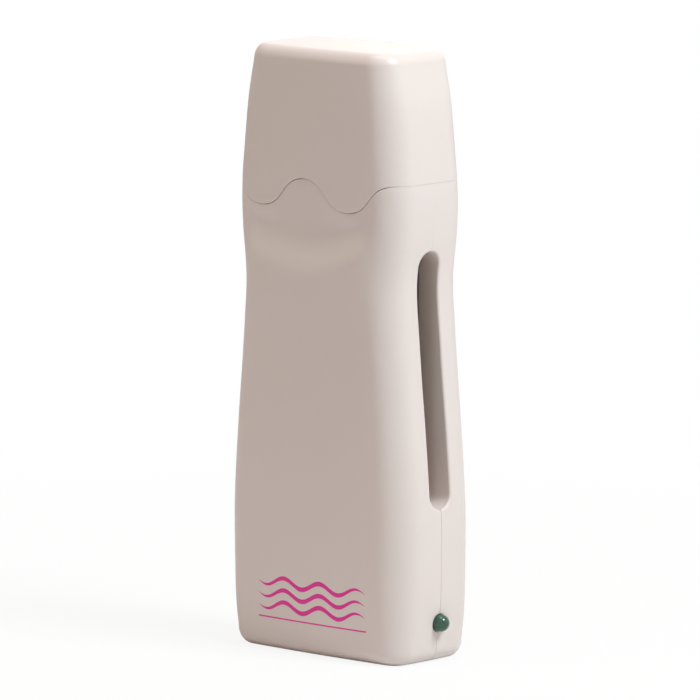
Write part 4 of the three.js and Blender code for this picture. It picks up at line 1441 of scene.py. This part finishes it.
wire("live_lead", "live_wire", wire_radius, brown, "brown_wire", [
    (-pin_x, wire_start, inlet_height),
    (-pin_x, ahead, inlet_height + wire_radius),
    (-tab_half / 2, ahead - wire_bend / 2, inlet_height + climb / 4),
    (-tab_half, ahead + wire_bend / 2, inlet_height + climb / 2),
    (thermostat_end - wire_bend, thermostat_depth - 2 * wire_bend, thermostat_height - wire_radius),
    (thermostat_end - wire_bend / 2, thermostat_depth - wire_bend / 2, thermostat_height),
    (thermostat_end, thermostat_depth, thermostat_height),
])
wire("neutral_lead", "neutral_wire", wire_radius, blue, "blue_wire", [
    (pin_x, wire_start, inlet_height),
    (pin_x, ahead, inlet_height),
    (0, far_ahead, inlet_height + wire_radius),
    (-tab_half / 2, far_ahead, inlet_height + climb / 4),
    (-beside_tab - wire_bend, ahead, inlet_height + climb),
    (-beside_tab - wire_bend, plate_front - 2 * wire_bend, thermostat_height + wire_bend),
    (-beside_tab - wire_bend / 2, plate_front, thermostat_height + wire_bend),
    *up_to(-terminal_spread),
])
wire("heater_lead", "heater_wire", wire_radius, white, "white_wire", [
    (fuse_high[0] + fit, fuse_place[1], thermostat_height),
    (beside_tab, fuse_place[1], thermostat_height + wire_radius),
    (beside_tab + 2 * wire_radius, plate_front, thermostat_height + wire_bend),
    *up_to(terminal_spread),
])
wire("lamp_live_lead", "lamp_live_wire", lamp_wire_radius, brown, "brown_wire", [
    (resistor_low[0] - fit, -bulb_spread, lens_height),
    (resistor_low[0] - wire_bend / 2, -bulb_spread, lens_height - lamp_wire_radius),
    (0, receptacle_middle - wire_bend, lens_height - wire_radius),
    *up_to_receptacle(-pin_x),
])
wire("lamp_neutral_lead", "lamp_neutral_wire", lamp_wire_radius, blue, "blue_wire", [
    (lead_end, bulb_spread, lens_height),
    (lead_end - wire_bend / 2, bulb_spread, lens_height),
    (pin_x + wire_bend, receptacle_middle + bulb_spread, lens_height - lamp_wire_radius),
    *up_to_receptacle(pin_x),
])

# Neck collar
# One moulding in brown-grey heat-resistant polyester that sits on the upper shelf. Its skirt locates the
# cap, its deck closes the gap round the bay, and its throat leads down onto the liner.
collar_low, collar_high = corners("neck_collar")
collar_wall = 1.8
deck_thickness = 2.0
skirt_edge = 1.0
skirt_foot = 0.4
mouth_edge = 0.9
throat_edge = 0.3
skirt_inset = wall + fit
skirt_top = collar_high[2] - skirt_edge
least_step = 0.01
skirt_levels = np.linspace(collar_low[2] + skirt_foot, skirt_top - least_step, 12)
under_deck = collar_high[2] - deck_thickness


def skirt_rounds(inset, *heights):
    """Rounds of the skirt, inside the body's skin by an inset, one for each height."""
    return body_points(listed(heights, inset), whole=True)


skirt_round = [
    skirt_rounds(skirt_inset + skirt_edge - out, skirt_top + up)
    for out, up in bend(0, 0, skirt_edge, 0, 90, 6)
]
throat = bay_points([
    *bend(mouth_edge, collar_high[2] - mouth_edge, mouth_edge, 90, 180, 6),
    (0, collar_low[2] + throat_edge),
    (throat_edge, collar_low[2]),
    (bay_wall, collar_low[2]),
    (bay_wall, under_deck),
])
collar = hollow("bay_collar", [
    skirt_rounds(skirt_inset + skirt_foot, collar_low[2]),
    skirt_rounds(skirt_inset, *skirt_levels),
    *skirt_round,
    throat,
    skirt_rounds(skirt_inset + collar_wall, under_deck, *skirt_levels[:-2][::-1], collar_low[2]),
])
fitted(collar, heat_plastic, "heat_plastic", "neck_collar")

# Shell screws
# Four zinc-plated pan-head screws, driven from behind down the wells of the rear shell into the posts of
# the front shell. Each was left at its own angle by the driver.
thread_pitch = 1.1
thread_core = 1.12
thread_start, thread_end = -8.2, -0.6
thread_ridge = ((-0.35, thread_core), (0, screw_radius), (0.12, screw_radius), (0.4, thread_core))
point_radius, point_length, taper_length = 0.6, 0.9, 2.2
plain_shank = 0.5
head_edge, head_side, head_top, head_dome = 0.15, 0.7, 1.6, 0.9
head_flat = 0.4
cross_half, cross_length, cross_floor, cross_top = 0.28, 1.35, 0.75, 3.0
shank = [
    (ridge + along, radius)
    for ridge in np.arange(thread_start, thread_end, thread_pitch)
    for along, radius in thread_ridge
]
tip = -screw_depth - screw_seat
screw_form = turned(
    "screw_form",
    [
        (tip, 0),
        (tip + point_length, point_radius),
        (tip + taper_length, thread_core),
        *shank,
        (-plain_shank, thread_core),
        (0, screw_radius),
        (0, screw_head - head_edge),
        (head_edge, screw_head),
        (head_side, screw_head),
        *(
            (head_side + up * head_dome / screw_head, out)
            for out, up in bend(0, 0, screw_head, 20, 75, 5)
        ),
        (head_top, head_flat),
        (head_top, 0),
    ],
    axis=1,
    sides=24,
)
mixed("DIFFERENCE", screw_form, *(
    block("cross", (-x, cross_floor, -z), (x, cross_top, z))
    for x, z in ((cross_length, cross_half), (cross_half, cross_length))
))
zinc = metal_finish("zinc_plated_steel", "#a6a9a8", "#c9cac4", 0.34, 1600)
seats = [(x, screw_seat, z) for x, z in screw_places]
screws = copies.piece("shell_screws", seats, [], zinc, Form=screw_form, Turn=0.7, Seed=4)
fitted(screws, zinc, "zinc_steel", *screw_nodes)

# Cap
# One moulding in ivory ABS that lifts off upwards. Its rim follows the lobes of the body, with a gap that
# nearly closes at the sides, and its top is very slightly domed.
top_fillet = 4.5
top_dome = 0.8
cap_foot = 173.0
cap_shoulder = tall - top_dome - top_fillet


def cap_points(drop):
    """Points of the cap's skin from its rim to the middle of its top."""
    rise = np.arange(12) / 12
    climb = np.arange(10) / 10
    turn = rise * math.pi / 2
    shrink = 1 - np.arange(13) / 12
    rows = np.concatenate([
        listed(cap_foot, rise=1 - rise),
        listed(cap_foot + (cap_shoulder - cap_foot) * climb),
        listed(cap_shoulder + top_fillet * np.sin(turn), top_fillet * (1 - np.cos(turn))),
        listed(tall - top_dome, top_fillet, shrink),
    ])
    points = body_points(rows, drop, whole=True)
    points[-len(shrink) :, :, 2] += top_dome * (1 - shrink[:, None] ** 2)
    return points


outer = cap_points(-rim_gap - rim_lip)
inner = cap_points(-rim_gap)
outward = facing(outer, closed=True)
inward = facing(inner, closed=True)
inward[-1] = (0, 0, 1)
inner = inner - wall * inward
down = (0, 0, -1) - outward[0] * -outward[0, :, 2:]
down /= np.linalg.norm(down, axis=-1, keepdims=True)
angles = (np.arange(1, lip_turns + 1) / lip_turns * math.pi / 2)[:, None, None]
rim_lips = rim_lip * openness(outer[0, :, :1])
lips = outer[0] + rim_lips * (np.sin(angles) * down - (1 - np.cos(angles)) * outward[0])
cap_skin = Skin()
outside, inside, rolled = (cap_skin.add(points) for points in (outer, inner, lips))
cap_skin.join(outside, closed=True)
cap_skin.join(inside, closed=True, inwards=True)
cap_skin.join(np.concatenate([inside[:1], rolled[::-1], outside[:1]]), closed=True)
ivory = ivory_finish("ivory_satin_plastic")
fitted(cap_skin.piece("cap_moulding"), ivory, "ivory_plastic", "cap", body="cap")

# Floor, backdrop and lights
# A white studio table under soft lamps: a cool one from the right and warmer ones from the left, from
# above and from behind, in a dim warm room.
reach = 6.0
shadow_reach, shadow_share = 450, 0.14
table_mesh = bpy.data.meshes.new("floor")
table_corners = [(x * reach, y * reach, 0) for x, y in ((-1, -1), (1, -1), (1, 1), (-1, 1))]
table_mesh.from_pydata(table_corners, [], [(0, 1, 2, 3)])
floor = added("floor", table_mesh)
table = Finish("white_table", Base_Color=(0.86, 0.86, 0.86, 1), Roughness=0.7, Specular_IOR_Level=0.2)
seen = table.node("ShaderNodeLightPath", {}, {}, "Is Camera Ray")
glow = table.node("ShaderNodeEmission", {}, {"Color": (1, 1, 1, 1), "Strength": 1.0})
plain = Value(table, table.shader.outputs[0])
east, north, _ = table.axes()
near = (1 - (east * east + north * north) ** 0.5 / shadow_reach).clamped()
shown = table.node("ShaderNodeMixShader", {}, {0: seen * (1 - near * shadow_share), 1: plain, 2: glow})
table.connect(table.tree.nodes["Material Output"].inputs["Surface"], shown)
table.paint(floor)

world = bpy.data.worlds.new("studio")
scene.world = world
world.use_nodes = True
room = Nodes(world.node_tree)
light = room.node("ShaderNodeBackground", {}, {"Color": (1, 0.84, 0.72, 1), "Strength": 0.1})
backdrop = room.node("ShaderNodeBackground", {}, {"Color": (1, 1, 1, 1), "Strength": 1.0})
rays = [
    room.node("ShaderNodeLightPath", {}, {}, kind)
    for kind in ("Is Camera Ray", "Is Glossy Ray", "Is Transmission Ray")
]
on_backdrop = (rays[0] + rays[1] + rays[2]).clamped()
both = room.node("ShaderNodeMixShader", {}, {0: on_backdrop, 1: light, 2: backdrop})
room.connect(world.node_tree.nodes["World Output"].inputs["Surface"], both)
lamp_distance = 1.6
lamp_aim = Vector((0, 0, 0.1))


def lamp(name, azimuth, elevation, size, power, colour):
    """A round soft lamp that shines on the heater from two angles in degrees."""
    data = bpy.data.lights.new(name, "AREA")
    data.shape = "DISK"
    data.size = size
    data.energy = power
    data.color = colour
    made = added(name, data)
    offset = towards(math.radians(azimuth), math.radians(elevation))
    made.location = lamp_aim + lamp_distance * offset
    made.rotation_euler = (-offset).to_track_quat("-Z", "Y").to_euler()


lamp("key", 97, 46, 0.6, 21.5, (0.89, 0.975, 1))
lamp("fill", -40, 25, 0.9, 3.7, (1, 0.82, 0.68))
lamp("overhead", 0, 88, 0.9, 10.2, (1, 0.91, 0.85))
lamp("behind", -150, 30, 0.9, 2.5, (1, 0.93, 0.87))
